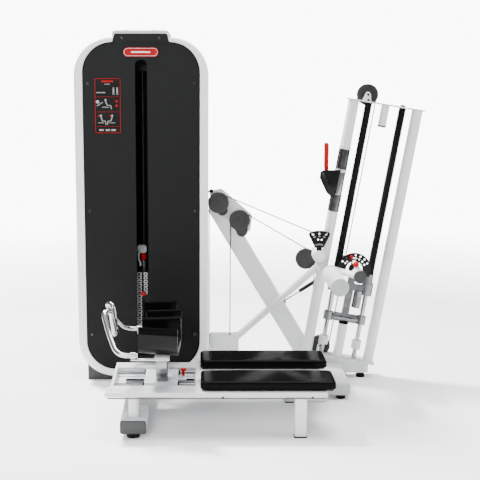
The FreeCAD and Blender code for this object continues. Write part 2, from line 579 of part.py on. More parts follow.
pop_shaft = rod((PIN_X, PIN_Y, WELL_LOW + 6), (PIN_X, PIN_Y, BAR_TOP + 24), 4)
pop_grip = Part.makeCone(8, 6.5, 24, Vector(PIN_X, PIN_Y, BAR_TOP + 21))
pop_head = Part.makeCone(12, 13.5, 14, Vector(PIN_X, PIN_Y, BAR_TOP + 44))
pop_head = soften(pop_head, 3, lambda e: e.BoundBox.ZMin > BAR_TOP + 57)
pieces["support_pin"] = fuse([pop_shaft, pop_grip, pop_head])

POST_TOP = 370.0
post = rounded_box(POST_X - 27, POST_X + 27, POST_Y - 68, POST_Y + 25, RAIL_Z + 14, POST_TOP, 24, AXIS_Z)
post_in = rounded_box(POST_X - 24, POST_X + 24, POST_Y - 65, POST_Y + 22, RAIL_Z + 17, POST_TOP + 1,
                      21, AXIS_Z)
pieces["support_post"] = post.cut(post_in)
SADDLE_T = 6.0
saddle = box(POST_X - 30, POST_X + 40, -575, 15, POST_TOP, POST_TOP + SADDLE_T)
pieces["support_crossbar"] = soften(saddle, 2, along(AXIS_Y))

GUTTER_H, GUTTER_WALL = 128.0, 28.0


def u_outline(x, width, height, wall, corner):
    """Closed U profile in the plane at x: two upright walls joined by a floor with rounded corners."""
    half, inner = width / 2, max(corner - wall, 2.0)
    slant = math.sqrt(0.5)

    def bend(y, z, radius, sign, down):
        """Quarter turn about (y, z) between an upright and the floor."""
        side, low = Vector(x, y + sign * radius, z), Vector(x, y, z - radius)
        middle = Vector(x, y + sign * radius * slant, z - radius * slant)
        return Part.Arc(side, middle, low) if down else Part.Arc(low, middle, side)

    def line(y0, z0, y1, z1):
        return Part.LineSegment(Vector(x, y0, z0), Vector(x, y1, z1))

    turn, floor_in = half - corner, wall + inner
    edges = [line(-half, height, -half, corner), bend(-turn, corner, corner, -1, True),
             line(-turn, 0, turn, 0), bend(turn, corner, corner, 1, False),
             line(half, corner, half, height), line(half, height, half - wall, height),
             line(half - wall, height, half - wall, floor_in),
             bend(half - floor_in, floor_in, inner, 1, True),
             line(half - floor_in, wall, floor_in - half, wall),
             bend(floor_in - half, floor_in, inner, -1, False),
             line(wall - half, floor_in, wall - half, height), line(wall - half, height, -half, height)]
    return Part.Wire([edge.toShape() for edge in edges])


def gutter(length, widths, height, wall, corner):
    """Open U trough along X, its left end at the local origin and its width changing from end to end."""
    ends = [u_outline(x, width, height, wall, corner) for x, width in zip((0, length), widths)]
    return Part.makeLoft(ends, True, True)


SHELL_T, GUTTER_R = 5.0, 46.0
# Left end of the trough's middle line, its turn about Z, its length and its widths at the two ends.
arm_rests = {"front": (-556.0, -434.0, -3.0, 188.0, (200.0, 270.0)),
             "rear": (-554.0, -84.0, 8.0, 180.0, (232.0, 232.0))}
shells = []
for name, (x, y, yaw, length, widths) in arm_rests.items():
    liner = [width - 2 * SHELL_T for width in widths]
    cushion = gutter(length, liner, GUTTER_H, GUTTER_WALL - SHELL_T, GUTTER_R)
    trough = gutter(length, widths, GUTTER_H - 26, SHELL_T, GUTTER_R + SHELL_T)
    for shape in (cushion, trough):
        shape.rotate(Vector(0, 0, 0), AXIS_Z, yaw)
    cushion.translate(Vector(x, y, POST_TOP + SADDLE_T + SHELL_T))
    trough.translate(Vector(x, y, POST_TOP + SADDLE_T))
    pieces[name + "_arm_pad"] = cushion
    shells.append(trough.cut(cushion))
pieces["arm_pad_shells"] = group(shells)

# W-shaped handlebar: mirrored about the middle plane of the bench.
BAR_R, MID_Y = 12.5, -322.5
half_path = [(-560, 250, 386), (-655, 250, 388), (-700, 165, 470), (-730, 95, 552), (-700, 60, 560),
             (-688, 45, 480), (-684, 40, 430), (-684, 0, 424)]


def bent_tube(points, radius):
    """Tube through points, each inside corner rounded as far as its runs allow."""
    nodes = [Vector(*p) for p in points]
    edges, start = [], nodes[0]
    for before, corner, after in zip(nodes, nodes[1:], nodes[2:]):
        into, out = (corner - before), (after - corner)
        back = 0.45 * min(into.Length, out.Length)
        p0 = corner - into.normalize() * back
        p1 = corner + out.normalize() * back
        chord = (p0 + p1) * 0.5
        half_turn = math.acos(max(-1, min(1, into.dot(out)))) / 2
        bend = back / math.tan(half_turn)
        centre_line = corner - chord
        rise = centre_line.Length - (bend / math.cos(half_turn) - bend)
        middle = chord + centre_line.normalize() * rise
        edges += [Part.LineSegment(start, p0).toShape(), Part.Arc(p0, middle, p1).toShape()]
        start = p1
    edges.append(Part.LineSegment(start, nodes[-1]).toShape())
    heading = nodes[1] - nodes[0]
    ring = Part.Wire(Part.Circle(nodes[0], heading, radius).toShape())
    return Part.Wire(edges).makePipeShell([ring], True, False)


full_path = [(x, MID_Y + dy, z) for x, dy, z in half_path[:-1]]
full_path += [(x, MID_Y - dy, z) for x, dy, z in reversed(half_path[:-1])]
pieces["handlebar"] = bent_tube(full_path, BAR_R)
CLAMP_R = BAR_R + 6
clamps, bar_mounts = [], []
for sign in (-1, 1):
    y = MID_Y + sign * half_path[0][1]
    ends = (-592, y, half_path[0][2] + 0.6), (-572, y, half_path[0][2] + 0.3)
    clamps.append(pipe(*ends, CLAMP_R, BAR_R))
    strap = box(-592, POST_X + 40, y - 12, y + 12, POST_TOP - SADDLE_T, POST_TOP)
    bar_mounts.append(strap.cut(rod(*ends, CLAMP_R)))
pieces["handle_clamps"] = cut(group(clamps), pieces["handlebar"])
pieces["bar_mounts"] = group(bar_mounts)

# ------------------------------------------------------- leaning guide tower
TOP_PLATE_T = 8.0
tubes = [pipe((side * SIDE_TUBE_A, 0, 0), (side * SIDE_TUBE_A, 0, LEAN_LENGTH),
              SIDE_TUBE_R, SIDE_TUBE_R - 3) for side in (-1, 1)]
pieces["side_tubes"] = leaning(group(tubes))
LOOP_DY = CABLE_Y - LEAN_Y
wheel_slot = (LOOP_A - PULLEY_RIM - 6, LOOP_A + PULLEY_RIM + 6, LOOP_DY - 15, LOOP_DY + 15)


def end_plate(s0, s1):
    slab = rounded_box(-207, 207, -48, 64, s0, s1, 14, AXIS_Z)
    return slab.cut(box(*wheel_slot, s0 - 1, s1 + 1))


rods = [rod((side * ROD_A, 0, 0), (side * ROD_A, 0, LEAN_LENGTH + TOP_PLATE_T + 10), ROD_R)
        for side in (-1, 1)]
pieces["guide_rods"] = leaning(group(rods))
pieces["tower_top_plate"] = leaning(cut(end_plate(LEAN_LENGTH, LEAN_LENGTH + TOP_PLATE_T), *rods))
pieces["tower_base_plate"] = leaning(end_plate(-10, 0))
support_x = (RIGHT_BEAM_X - BEAM_W / 2, RIGHT_BEAM_X + BEAM_W / 2)
wedge = box(*support_x, LEAN_Y - 40, LEAN_Y + 20, BEAM_TOP, 190)
under = leaning(box(-400, 400, -200, 200, -400, -10))
outrigger = box(support_x[1], 668, LEAN_Y - 40, LEAN_Y + 20, 30, 190).common(under)
pieces["tower_pedestal"] = fuse([wedge.common(under), outrigger])
pieces["rubber_feet"] = group(feet + leg_pads + [Part.makeCone(24, 22, 30, Vector(630, LEAN_Y - 10, 0))])

BELLOWS_S0 = NECK_S1 + GAP
FOLD = 11.5
bellows = []
for side in (-1, 1):
    profile = [(ROD_R + 1, BELLOWS_S0), (19, BELLOWS_S0)]
    folds = int((LEAN_LENGTH - GAP - BELLOWS_S0) / FOLD)
    step = (LEAN_LENGTH - GAP - BELLOWS_S0) / folds
    for i in range(folds):
        s = BELLOWS_S0 + i * step
        profile += [(21, s + step * 0.3), (21, s + step * 0.5), (17, s + step * 0.9)]
    profile += [(19, LEAN_LENGTH - GAP), (ROD_R + 1, LEAN_LENGTH - GAP)]
    face = outline([(r, 0, s) for r, s in profile])
    sleeve = face.revolve(Vector(0, 0, 0), AXIS_Z, 360)
    sleeve.translate(Vector(side * ROD_A, 0, 0))
    bellows.append(sleeve)
pieces["rod_bellows"] = leaning(group(bellows))

collar_s = (58.0, 106.0)
pieces["rod_collars"] = leaning(group([pipe((side * ROD_A, 0, collar_s[0]), (side * ROD_A, 0, collar_s[1]),
                                            26, ROD_R) for side in (-1, 1)]))
STOP_TOP = 190.0
pieces["lower_stop_post"] = leaning(pipe((0, 0, 0), (0, 0, STOP_TOP), 25.5, 22))
RING_TOP = CROSS_TUBE_S - 25 - GAP
pieces["stop_rings"] = leaning(group([pipe((0, 0, STOP_TOP), (0, 0, RING_TOP), 27, 12),
                                     pipe((0, 0, 1292), (0, 0, 1300), 23, 8)]))
pieces["upper_stop_tube"] = leaning(rod((0, 0, 1300), (0, 0, LEAN_LENGTH), 21.5))

# Sleeves on the left side tube that carry the brake housing.
SLEEVE_A = -SIDE_TUBE_A
def tube_bands(spans, radius):
    return leaning(group([pipe((SLEEVE_A, 0, low), (SLEEVE_A, 0, high), radius, SIDE_TUBE_R)
                          for low, high in spans]))


pieces["tube_clamp_rings"] = tube_bands([(1146, 1160), (1018, 1032)], 32)
pieces["tube_sleeves"] = tube_bands([(1032, 1146), (800, 895)], 30.5)

BRAKE_X, BRAKE_Z = 414.0, 1108.0
housing_outline = [(379, 1140), (425, 1166), (466, 1157), (452, 1080), (438, 1016), (412, 1028)]
brake_case = plate_xz(housing_outline, LEAN_Y - 52, LEAN_Y - 12)
brake_case = soften(brake_case, 9, along(AXIS_Y))
keep_out = [leaning(rod((SLEEVE_A, 0, 780), (SLEEVE_A, 0, 1170), 32))]
lever_room = plate_xz([(395, 1080), (440, 1080), (448, 1180), (380, 1180)], LEAN_Y - 45, LEAN_Y - 19)
brake_case = cut(brake_case, *keep_out)
brake_axle = rod((BRAKE_X, LEAN_Y - 56, BRAKE_Z), (BRAKE_X, LEAN_Y - 8, BRAKE_Z), 5)
pieces["brake_housing"] = cut(brake_case, lever_room, brake_axle)
pieces["brake_axle"] = brake_axle
LEVER_TOP = 1310.0
lever = rod((BRAKE_X, LEAN_Y - 32, BRAKE_Z + 30), (BRAKE_X - 4, LEAN_Y - 32, LEVER_TOP), 12)
lever = soften(lever, 5, lambda e: e.BoundBox.ZMin > LEVER_TOP - 10)
lever_foot = box(BRAKE_X - 9, BRAKE_X + 9, LEAN_Y - 41, LEAN_Y - 23, BRAKE_Z, BRAKE_Z + 40)
lever_eye = rod((BRAKE_X, LEAN_Y - 41, BRAKE_Z), (BRAKE_X, LEAN_Y - 23, BRAKE_Z), 11)
eye_bore = rod((BRAKE_X, LEAN_Y - 60, BRAKE_Z), (BRAKE_X, LEAN_Y, BRAKE_Z), 5 + FIT)
pieces["brake_lever"] = fuse([lever, lever_foot, lever_eye]).cut(eye_bore)

# ----------------------------------------------------------------- carriage
bearings = []
for side in (-1, 1):
    body = rod((side * ROD_A, 0, BEARING_S0), (side * ROD_A, 0, BEARING_S1), 31)
    neck = rod((side * ROD_A, 0, BEARING_S1), (side * ROD_A, 0, NECK_S1), 22)
    guide_bore = rod((side * ROD_A, 0, 300), (side * ROD_A, 0, 600), ROD_R + FIT)
    bearings.append(cut(fuse([body, neck]), guide_bore))
lower_bearings = [pipe((side * ROD_A, 0, 200), (side * ROD_A, 0, 246), 26, ROD_R + FIT) for side in (-1, 1)]
pieces["carriage_bearings"] = leaning(group(bearings + lower_bearings))
cross = rod((-64, 0, CROSS_TUBE_S), (64, 0, CROSS_TUBE_S), 25)
blocks = [rod((side * ROD_A, 0, 190), (side * ROD_A, 0, 260), 26) for side in (-1, 1)]
spigot = rod((-80, 0, CROSS_TUBE_S), (80, 0, CROSS_TUBE_S), 18)
pieces["carriage_cross_tube"] = leaning(cut(fuse([cross, spigot]), *blocks))
upper_bar = box(-70, 70, -18, 6, 386, 420)
spine = box(-22, 16, -18, 2, 225, 560)
cross_room = rod((-90, 0, CROSS_TUBE_S), (90, 0, CROSS_TUBE_S), 25)
bearing_room = [rod((side * ROD_A, 0, 360), (side * ROD_A, 0, 440), 31) for side in (-1, 1)]
spine_set = leaning(cut(fuse([upper_bar, spine]), cross_room, *bearing_room))
shaft = rod((HUB_X, 110, HUB_Z), (HUB_X, LEAN_Y - 5, HUB_Z), 15)
hub_boss = rod((HUB_X, SECTOR_Y + 7, HUB_Z), (HUB_X, LEAN_Y - 14, HUB_Z), 26)
spine_set = cut(fuse([spine_set, hub_boss]), shaft)
pieces["carriage_spine"] = spine_set
pieces["hub_shaft"] = shaft
stay = rod((50, -2, 290), (50, -2, 386), 26)
pieces["carriage_stay"] = leaning(cut(stay, upper_bar, rod((ROD_A, 0, 280), (ROD_A, 0, 440), 31.5), spine))

clamp_a = LOOP_A + PULLEY_PITCH
clamp_body = box(clamp_a - 16, clamp_a + 16, 6, LOOP_DY + 16, 540, 560)
clamp_body = fuse([clamp_body, box(clamp_a - 16, -22, -10, 10, 540, 560)])
clamp_body = clamp_body.cut(rod((clamp_a, LOOP_DY, 530), (clamp_a, LOOP_DY, 570), CABLE_R + GAP))
pieces["cable_clamp"] = leaning(cut(clamp_body, spine))

plate_ring = sector(HUB_X, HUB_Z, SECTOR_Y, SECTOR_Y + 6, 46, 92, -28, 192)
spokes = [rod((HUB_X, SECTOR_Y, HUB_Z), (HUB_X, SECTOR_Y + 6, HUB_Z), 30),
          box(HUB_X - 11, HUB_X + 11, SECTOR_Y, SECTOR_Y + 6, HUB_Z, HUB_Z + 50)]
SECTOR_PIN_DEG, SECTOR_PIN_RADIUS, STOP_RADIUS = 105.0, 61.0, 79.0
HOLE_R, ARM_SWING = 5.2, 24.0
outer_row = [(STOP_RADIUS, 25 + 20 * i) for i in range(7)]
inner_row = [(SECTOR_PIN_RADIUS, degrees) for degrees in (25, 45, 65, 145)]
sector_holes = []
for radius, degrees in outer_row + inner_row:
    x, z = polar(HUB_X, HUB_Z, radius, degrees)
    sector_holes.append(rod((x, SECTOR_Y - 1, z), (x, SECTOR_Y + 7, z), HOLE_R))
arc_slot = [sector(HUB_X, HUB_Z, SECTOR_Y - 1, SECTOR_Y + 7, SECTOR_PIN_RADIUS - HOLE_R,
                   SECTOR_PIN_RADIUS + HOLE_R, SECTOR_PIN_DEG - ARM_SWING, SECTOR_PIN_DEG + ARM_SWING)]
for degrees in (SECTOR_PIN_DEG - ARM_SWING, SECTOR_PIN_DEG + ARM_SWING):
    x, z = polar(HUB_X, HUB_Z, SECTOR_PIN_RADIUS, degrees)
    arc_slot.append(rod((x, SECTOR_Y - 1, z), (x, SECTOR_Y + 7, z), HOLE_R))
pieces["front_sector"] = cut(fuse([plate_ring] + spokes), shaft, *sector_holes, *arc_slot)

# Roller arm turns on the hub shaft and is locked to the sector by a pull pin.
HUB_Y0, HUB_Y1 = 118.0, 206.0
hub = pipe((HUB_X, HUB_Y0, HUB_Z), (HUB_X, HUB_Y1, HUB_Z), 32, 15 + FIT)
pin_x, pin_z = polar(HUB_X, HUB_Z, SECTOR_PIN_RADIUS, SECTOR_PIN_DEG)
inner_x, inner_z = polar(HUB_X, HUB_Z, 26, SECTOR_PIN_DEG)
EAR_Y = 192.0
ear = rod((inner_x, EAR_Y, inner_z), (pin_x, EAR_Y, pin_z), 9)
ear_end = rod((pin_x, EAR_Y - 10, pin_z), (pin_x, EAR_Y + 30, pin_z), 11)
hub_room = rod((HUB_X, 0, HUB_Z), (HUB_X, 400, HUB_Z), 31)
SHACKLE_Y0, SHACKLE_Y1 = ROLLER_Y1 + 2, ROLLER_Y1 + 12
arm_tube = rod((HUB_X - 12, EAR_Y - 40, HUB_Z - 2), (ROLLER_X + 24, SHACKLE_Y0 + 4, ROLLER_Z + 18), 17)
arm_end = rod((ROLLER_X, SHACKLE_Y0, ROLLER_Z), (ROLLER_X, SHACKLE_Y1, ROLLER_Z), 40)
arm_gap = rod((ROLLER_X, ROLLER_Y0 - 10, ROLLER_Z), (ROLLER_X, SHACKLE_Y0, ROLLER_Z), ROLLER_R + 2)
arm = fuse([arm_tube, ear, ear_end]).cut(hub_room).cut(arm_gap)
arm = arm.cut(box(300, 700, SHACKLE_Y1, 500, 400, 900))
arm = fuse([hub, arm, arm_end])
arm = cut(arm, rod((pin_x, 100, pin_z), (pin_x, 300, pin_z), 4 + FIT), shaft,
          rod((HUB_X, 0, HUB_Z), (HUB_X, 400, HUB_Z), 15 + FIT))
roller_axle = rod((ROLLER_X, ROLLER_Y0 + 20, ROLLER_Z), (ROLLER_X, SHACKLE_Y1, ROLLER_Z), 9)
pieces["roller_arm"] = arm.cut(roller_axle)
pieces["roller_axle"] = roller_axle
drum = rod((ROLLER_X, ROLLER_Y0, ROLLER_Z), (ROLLER_X, ROLLER_Y1, ROLLER_Z), ROLLER_R)
drum = soften(drum, 2, lambda e: abs(e.Length - 2 * math.pi * ROLLER_R) < 0.1)
pieces["roller"] = drum.cut(rod((ROLLER_X, ROLLER_Y0 + 19, ROLLER_Z), (ROLLER_X, 400, ROLLER_Z), 9 + FIT))
disc = rod((HUB_X, HUB_Y0 - 18, HUB_Z), (HUB_X, HUB_Y0 - GAP, HUB_Z), 34)
disc = soften(disc, 3, lambda e: e.BoundBox.YMax < HUB_Y0 - 17)
pieces["hub_cap"] = disc.cut(shaft)

pull_shaft = rod((pin_x, EAR_Y - 24, pin_z), (pin_x, SECTOR_Y + 5, pin_z), 4)
pull_knob = ball((pin_x, EAR_Y - 34, pin_z), 16)
pieces["sector_pin"] = fuse([pull_shaft, pull_knob])
mark_x, mark_z = polar(HUB_X, HUB_Z, STOP_RADIUS, 105.0)
range_shaft = rod((mark_x, SECTOR_Y - 12, mark_z), (mark_x, SECTOR_Y + 6, mark_z), HOLE_R)
range_head = rod((mark_x, SECTOR_Y - 30, mark_z), (mark_x, SECTOR_Y - 12, mark_z), 9)
pieces["range_pin"] = fuse([range_shaft, soften(range_head, 3, lambda e: True)])

# -------------------------------------------------------- cables and pulleys
top_x, top_z = lean_point(LOOP_A, TOP_PULLEY_S)
low_x, low_z = lean_point(LOOP_A, LOW_PULLEY_S)
pieces["leaning_top_pulley"] = pulley(top_x, top_z, CABLE_Y)
pieces["leaning_low_pulley"] = pulley(low_x, low_z, CABLE_Y)
pieces["brace_pulley"] = pulley(*BRACE_PULLEY, CABLE_Y)
pieces["hub_pulley"] = pulley(*HUB_PULLEY, CABLE_Y)
pieces["tension_pulley"] = pulley(*TENSION_PULLEY, TENSION_Y)

clamp_point = lean_point(clamp_a, 550)
run_end = lean_point(clamp_a, 550.05)
head_exit = (TOWER_X, HEAD_PULLEY_Z - 5)
pieces["load_cable"] = cable([(*clamp_point, 0), (low_x, low_z, -PULLEY_PITCH), (*HUB_PULLEY, PULLEY_PITCH),
                             (*BRACE_PULLEY, PULLEY_PITCH), (BASE_PULLEYS[1], SMALL_Z, -SMALL_PITCH),
                             (BASE_PULLEYS[0], SMALL_Z, -SMALL_PITCH),
                             (HEAD_PULLEYS[1], HEAD_PULLEY_Z, PULLEY_PITCH),
                             (HEAD_PULLEYS[0], HEAD_PULLEY_Z, PULLEY_PITCH), (*head_exit, 0)], CABLE_Y)
anchor_point = lean_point(LOOP_A - PULLEY_PITCH, 700)
pieces["top_cable"] = cable([(*run_end, 0), (top_x, top_z, PULLEY_PITCH), (*anchor_point, 0)], CABLE_Y)
KNOB = (353.0, 820.0)
TURNBUCKLE_TOP = 190.0
tension_stops = [(KNOB[0] - 6, KNOB[1], 0), (*TENSION_PULLEY, PULLEY_PITCH),
                 (TENSION_PULLEY[0] - PULLEY_PITCH, TURNBUCKLE_TOP, 0)]
pieces["tension_cable"] = cable(tension_stops, TENSION_Y)
pieces["stack_cable"] = rod((TOWER_X, STACK_Y, STEM_TOP + 42), (TOWER_X, STACK_Y, head_exit[1]), CABLE_R)

turn_x = TENSION_PULLEY[0] - PULLEY_PITCH
turnbuckle = fuse([rod((turn_x, TENSION_Y, 118), (turn_x, TENSION_Y, TURNBUCKLE_TOP), 5),
                   soften(rod((turn_x, TENSION_Y, 132), (turn_x, TENSION_Y, 176), 9), 3, lambda e: True)])
anchor_lug = box(turn_x - 8, turn_x + 8, TENSION_Y - 12, TENSION_Y + 12, BEAM_TOP + 14, 118)
anchor_foot = fuse([box(turn_x - 16, turn_x + 16, TENSION_Y - 12, REAR_BEAM_Y - 40,
                        BEAM_LOW + 8, BEAM_TOP - 2),
                    box(turn_x - 16, turn_x + 16, TENSION_Y - 12, TENSION_Y + 12,
                        BEAM_TOP - 2, BEAM_TOP + 14)])
pieces["turnbuckle"] = turnbuckle
pieces["turnbuckle_bracket"] = fuse([anchor_lug, anchor_foot])

top_cheeks = []
for y0 in (LOOP_DY - HALF_GAP - 5, LOOP_DY + HALF_GAP):
    plate_top = LEAN_LENGTH + TOP_PLATE_T
    ear_plate = fuse([rod((LOOP_A, y0, TOP_PULLEY_S), (LOOP_A, y0 + 5, TOP_PULLEY_S), 15),
                      plate_xz([(LOOP_A - 15, TOP_PULLEY_S), (LOOP_A + 15, TOP_PULLEY_S),
                                (LOOP_A + 24, plate_top), (LOOP_A - 24, plate_top)], y0, y0 + 5)])
    top_cheeks.append(ear_plate)
low_cheeks = []
for y0 in (LOOP_DY - HALF_GAP - 4.5, LOOP_DY + HALF_GAP):
    low_cheeks.append(fuse([rod((LOOP_A, y0, LOW_PULLEY_S), (LOOP_A, y0 + 4.5, LOW_PULLEY_S), 15),
                            box(LOOP_A - 15, LOOP_A + 15, y0, y0 + 4.5, 0, LOW_PULLEY_S)]))
loop_axles = [rod((LOOP_A, LOOP_DY - 30, s), (LOOP_A, LOOP_DY + 24, s), AXLE_R)
              for s in (TOP_PULLEY_S, LOW_PULLEY_S)]
rod_room = rod((-ROD_A, 0, 0), (-ROD_A, 0, 1500), 26.5)
pieces["loop_pulley_brackets"] = leaning(group([c.cut(loop_axles[0]).cut(loop_axles[1]).cut(rod_room)
                                               for c in top_cheeks + low_cheeks]))
anchor_body = leaning(rod((LOOP_A - PULLEY_PITCH, LOOP_DY, 660), (LOOP_A - PULLEY_PITCH, LOOP_DY, 700), 8))
anchor_arm = leaning(box(-176, LOOP_A - PULLEY_PITCH, SIDE_TUBE_R - 6, LOOP_DY, 664, 690))
pieces["top_cable_anchor"] = cut(fuse([anchor_body, anchor_arm]),
                                leaning(rod((SLEEVE_A, 0, 600), (SLEEVE_A, 0, 800), SIDE_TUBE_R)))

axles = [axle(*BRACE_PULLEY, CABLE_Y - HALF_GAP, BEAM_Y0), axle(*HUB_PULLEY, CABLE_Y - HALF_GAP, 470),
         axle(*TENSION_PULLEY, TENSION_Y - HALF_GAP, BEAM_Y0)]
axles += [axle(x, HEAD_PULLEY_Z, STACK_Y - 20, STACK_Y + 26) for x in HEAD_PULLEYS]
axles += [axle(x, SMALL_Z, CABLE_Y - HALF_GAP - CHEEK_T, CABLE_Y + HALF_GAP + CHEEK_T, False)
          for x in BASE_PULLEYS]
axles += [leaning(a) for a in loop_axles]
pieces["pulley_axles"] = group(axles)

# ------------------------------------------------------- brace and side hub
beam_line = [(-180.5, 950.0), (301.5, 151.0)]
run = Vector(beam_line[1][0] - beam_line[0][0], 0, beam_line[1][1] - beam_line[0][1]).normalize()
BRACE_LENGTH = 1010.0


def along_brace(shape):
    """Lay an upright shape along the sloping brace."""
    moved = shape.copy()
    moved.rotate(Vector(0, 0, 0), AXIS_Z, 90)
    moved.rotate(Vector(0, 0, 0), AXIS_Y, 90 + math.degrees(math.atan2(-run.z, run.x)))
    moved.translate(Vector(beam_line[0][0], (BEAM_Y0 + BEAM_Y1) / 2, beam_line[0][1]))
    return moved


solid_brace = along_brace(rounded_box(-30, 30, -50, 50, 0, BRACE_LENGTH, 8, AXIS_Z))
brace_bore = along_brace(rounded_box(-27, 27, -47, 47, -1, BRACE_LENGTH + 1, 5, AXIS_Z))
above_beam = box(-2000, RIGHT_BEAM_X, 0, 1000, BEAM_TOP, 2000)
brace = cut(solid_brace.cut(brace_bore).common(above_beam), pieces["tower_base_plate"])
brace = max(brace.Solids, key=lambda solid: solid.Volume)
pieces["brace_beam"] = brace
head_plate = plate_xz([(-222, 1040), (-150, 1052), (20, 905), (10, 812), (-90, 800), (-190, 930)],
                      BEAM_Y0 - 5, BEAM_Y0)
axle_holes = [rod((x, 300, z), (x, 500, z), AXLE_R) for x, z in (BRACE_PULLEY, TENSION_PULLEY)]
pieces["brace_head_plate"] = cut(soften(head_plate, 20, along(AXIS_Y)), *axle_holes)

strut = rod((-116.5, 560, 120), (371, 345, 624), 20)
left_tube = leaning(rod((SLEEVE_A, 0, 0), (SLEEVE_A, 0, LEAN_LENGTH), SIDE_TUBE_R))
hub_barrel = rod((SIDE_HUB_X, 306, SIDE_HUB_Z), (SIDE_HUB_X, 400, SIDE_HUB_Z), 33)
strut = cut(strut, solid_brace, left_tube, hub_barrel)
pieces["brace_strut"] = group(strut.Solids)
FOOT_X0, FOOT_X1 = -150.0, -88.0
strut_foot = fuse([box(FOOT_X0, FOOT_X1, REAR_BEAM_Y + 40, REAR_BEAM_Y + 50, BEAM_LOW + 5, BEAM_TOP - 5),
                   box(FOOT_X0, FOOT_X1, REAR_BEAM_Y + 50, 590, 60, 128)])
pieces["strut_foot"] = cut(strut_foot, strut)
ROCKER_AXLE_R = 8.0
rocker_bore = rod((SIDE_HUB_X, 200, SIDE_HUB_Z), (SIDE_HUB_X, 600, SIDE_HUB_Z), ROCKER_AXLE_R + FIT)
wheel_room = rod((HUB_PULLEY[0], 390, HUB_PULLEY[1]), (HUB_PULLEY[0], 480, HUB_PULLEY[1]), PULLEY_RIM + 3)
pieces["side_hub"] = cut(hub_barrel, left_tube, rocker_bore, wheel_room)
side_plate = sector(SIDE_HUB_X, SIDE_HUB_Z, 316, 322, 50, 142, 64, 116)
side_plate = soften(side_plate, 12, along(AXIS_Y))
side_foot = box(SIDE_HUB_X - 14, SIDE_HUB_X + 14, 316, 322, SIDE_HUB_Z + 30, SIDE_HUB_Z + 56)
side_plate = cut(fuse([side_plate, side_foot]), hub_barrel)
for radius, degrees in ((124, 74), (124, 90), (124, 106), (92, 82), (92, 94)):
    x, z = polar(SIDE_HUB_X, SIDE_HUB_Z, radius, degrees)
    side_plate = side_plate.cut(rod((x, 300, z), (x, 330, z), 4.5))
pieces["side_sector"] = side_plate
tension_knob = rod((KNOB[0], 322, KNOB[1]), (KNOB[0], TENSION_Y + 8, KNOB[1]), 7)
pieces["tension_knob"] = cut(tension_knob, pieces["tension_cable"])

# Damped rocker on the side hub, with its gas spring behind the tower.
spring_dx, spring_dz = SPRING_HEAD[0] - SPRING_FOOT[0], SPRING_HEAD[1] - SPRING_FOOT[1]
spring_len = math.hypot(spring_dx, spring_dz)
ux, uz = spring_dx / spring_len, spring_dz / spring_len


def on_spring(distance):
    return SPRING_FOOT[0] + ux * distance, SPRING_Y, SPRING_FOOT[1] + uz * distance


rocker_plate_y = (SPRING_Y - 24, SPRING_Y - 16)
head_x, head_z = SPRING_HEAD
tail = plate_xz([(SIDE_HUB_X - 20, SIDE_HUB_Z), (SIDE_HUB_X + 20, SIDE_HUB_Z),
                 (head_x + 12, head_z), (head_x - 12, head_z)], *rocker_plate_y)


def turned(centre, y0, y1, radius):
    """Cylinder along Y about a point given as X and Z."""
    return rod((centre[0], y0, centre[1]), (centre[0], y1, centre[1]), radius)


SIDE_HUB, SPRING_PIN_R = (SIDE_HUB_X, SIDE_HUB_Z), 5.0
pieces["rocker"] = fuse([tail, turned(SIDE_HUB, *rocker_plate_y, 20),
                         turned(SPRING_HEAD, *rocker_plate_y, 12),
                         turned(SPRING_HEAD, rocker_plate_y[1], SPRING_Y + 12, SPRING_PIN_R),
                         turned(SIDE_HUB, 299, rocker_plate_y[1], ROCKER_AXLE_R),
                         turned(SIDE_HUB, 299, 306 - GAP, 24)])

eye = turned(SPRING_HEAD, SPRING_Y - 6, SPRING_Y + 6, 12)
tube_low = 112.0
tube_body = rod(on_spring(tube_low), on_spring(spring_len - 16), 11)
link = rod(on_spring(spring_len - 18), on_spring(spring_len - 8), 6)
pin_room = turned(SPRING_HEAD, SPRING_Y - 30, SPRING_Y + 30, SPRING_PIN_R + FIT)
STROKE_BORE = 6.5
pieces["gas_spring_tube"] = cut(fuse([tube_body, link, eye]), pin_room,
                               rod(on_spring(tube_low - 1), on_spring(spring_len - 30), STROKE_BORE + FIT))
EYE_PLAY = 4.0
foot_eye = turned(SPRING_FOOT, SPRING_Y - 6, SPRING_Y + 6, 15)
piston = rod(on_spring(12), on_spring(tube_low + 60), STROKE_BORE)
foot_room = turned(SPRING_FOOT, SPRING_Y - 30, SPRING_Y + 30, SPRING_PIN_R + EYE_PLAY)
pieces["gas_spring_rod"] = fuse([piston, foot_eye]).cut(foot_room)
foot_pin = fuse([turned(SPRING_FOOT, BEAM_Y1, SPRING_Y + 14, SPRING_PIN_R),
                 turned(SPRING_FOOT, BEAM_Y1, BEAM_Y1 + 12, 16)])
pieces["gas_spring_pin"] = foot_pin

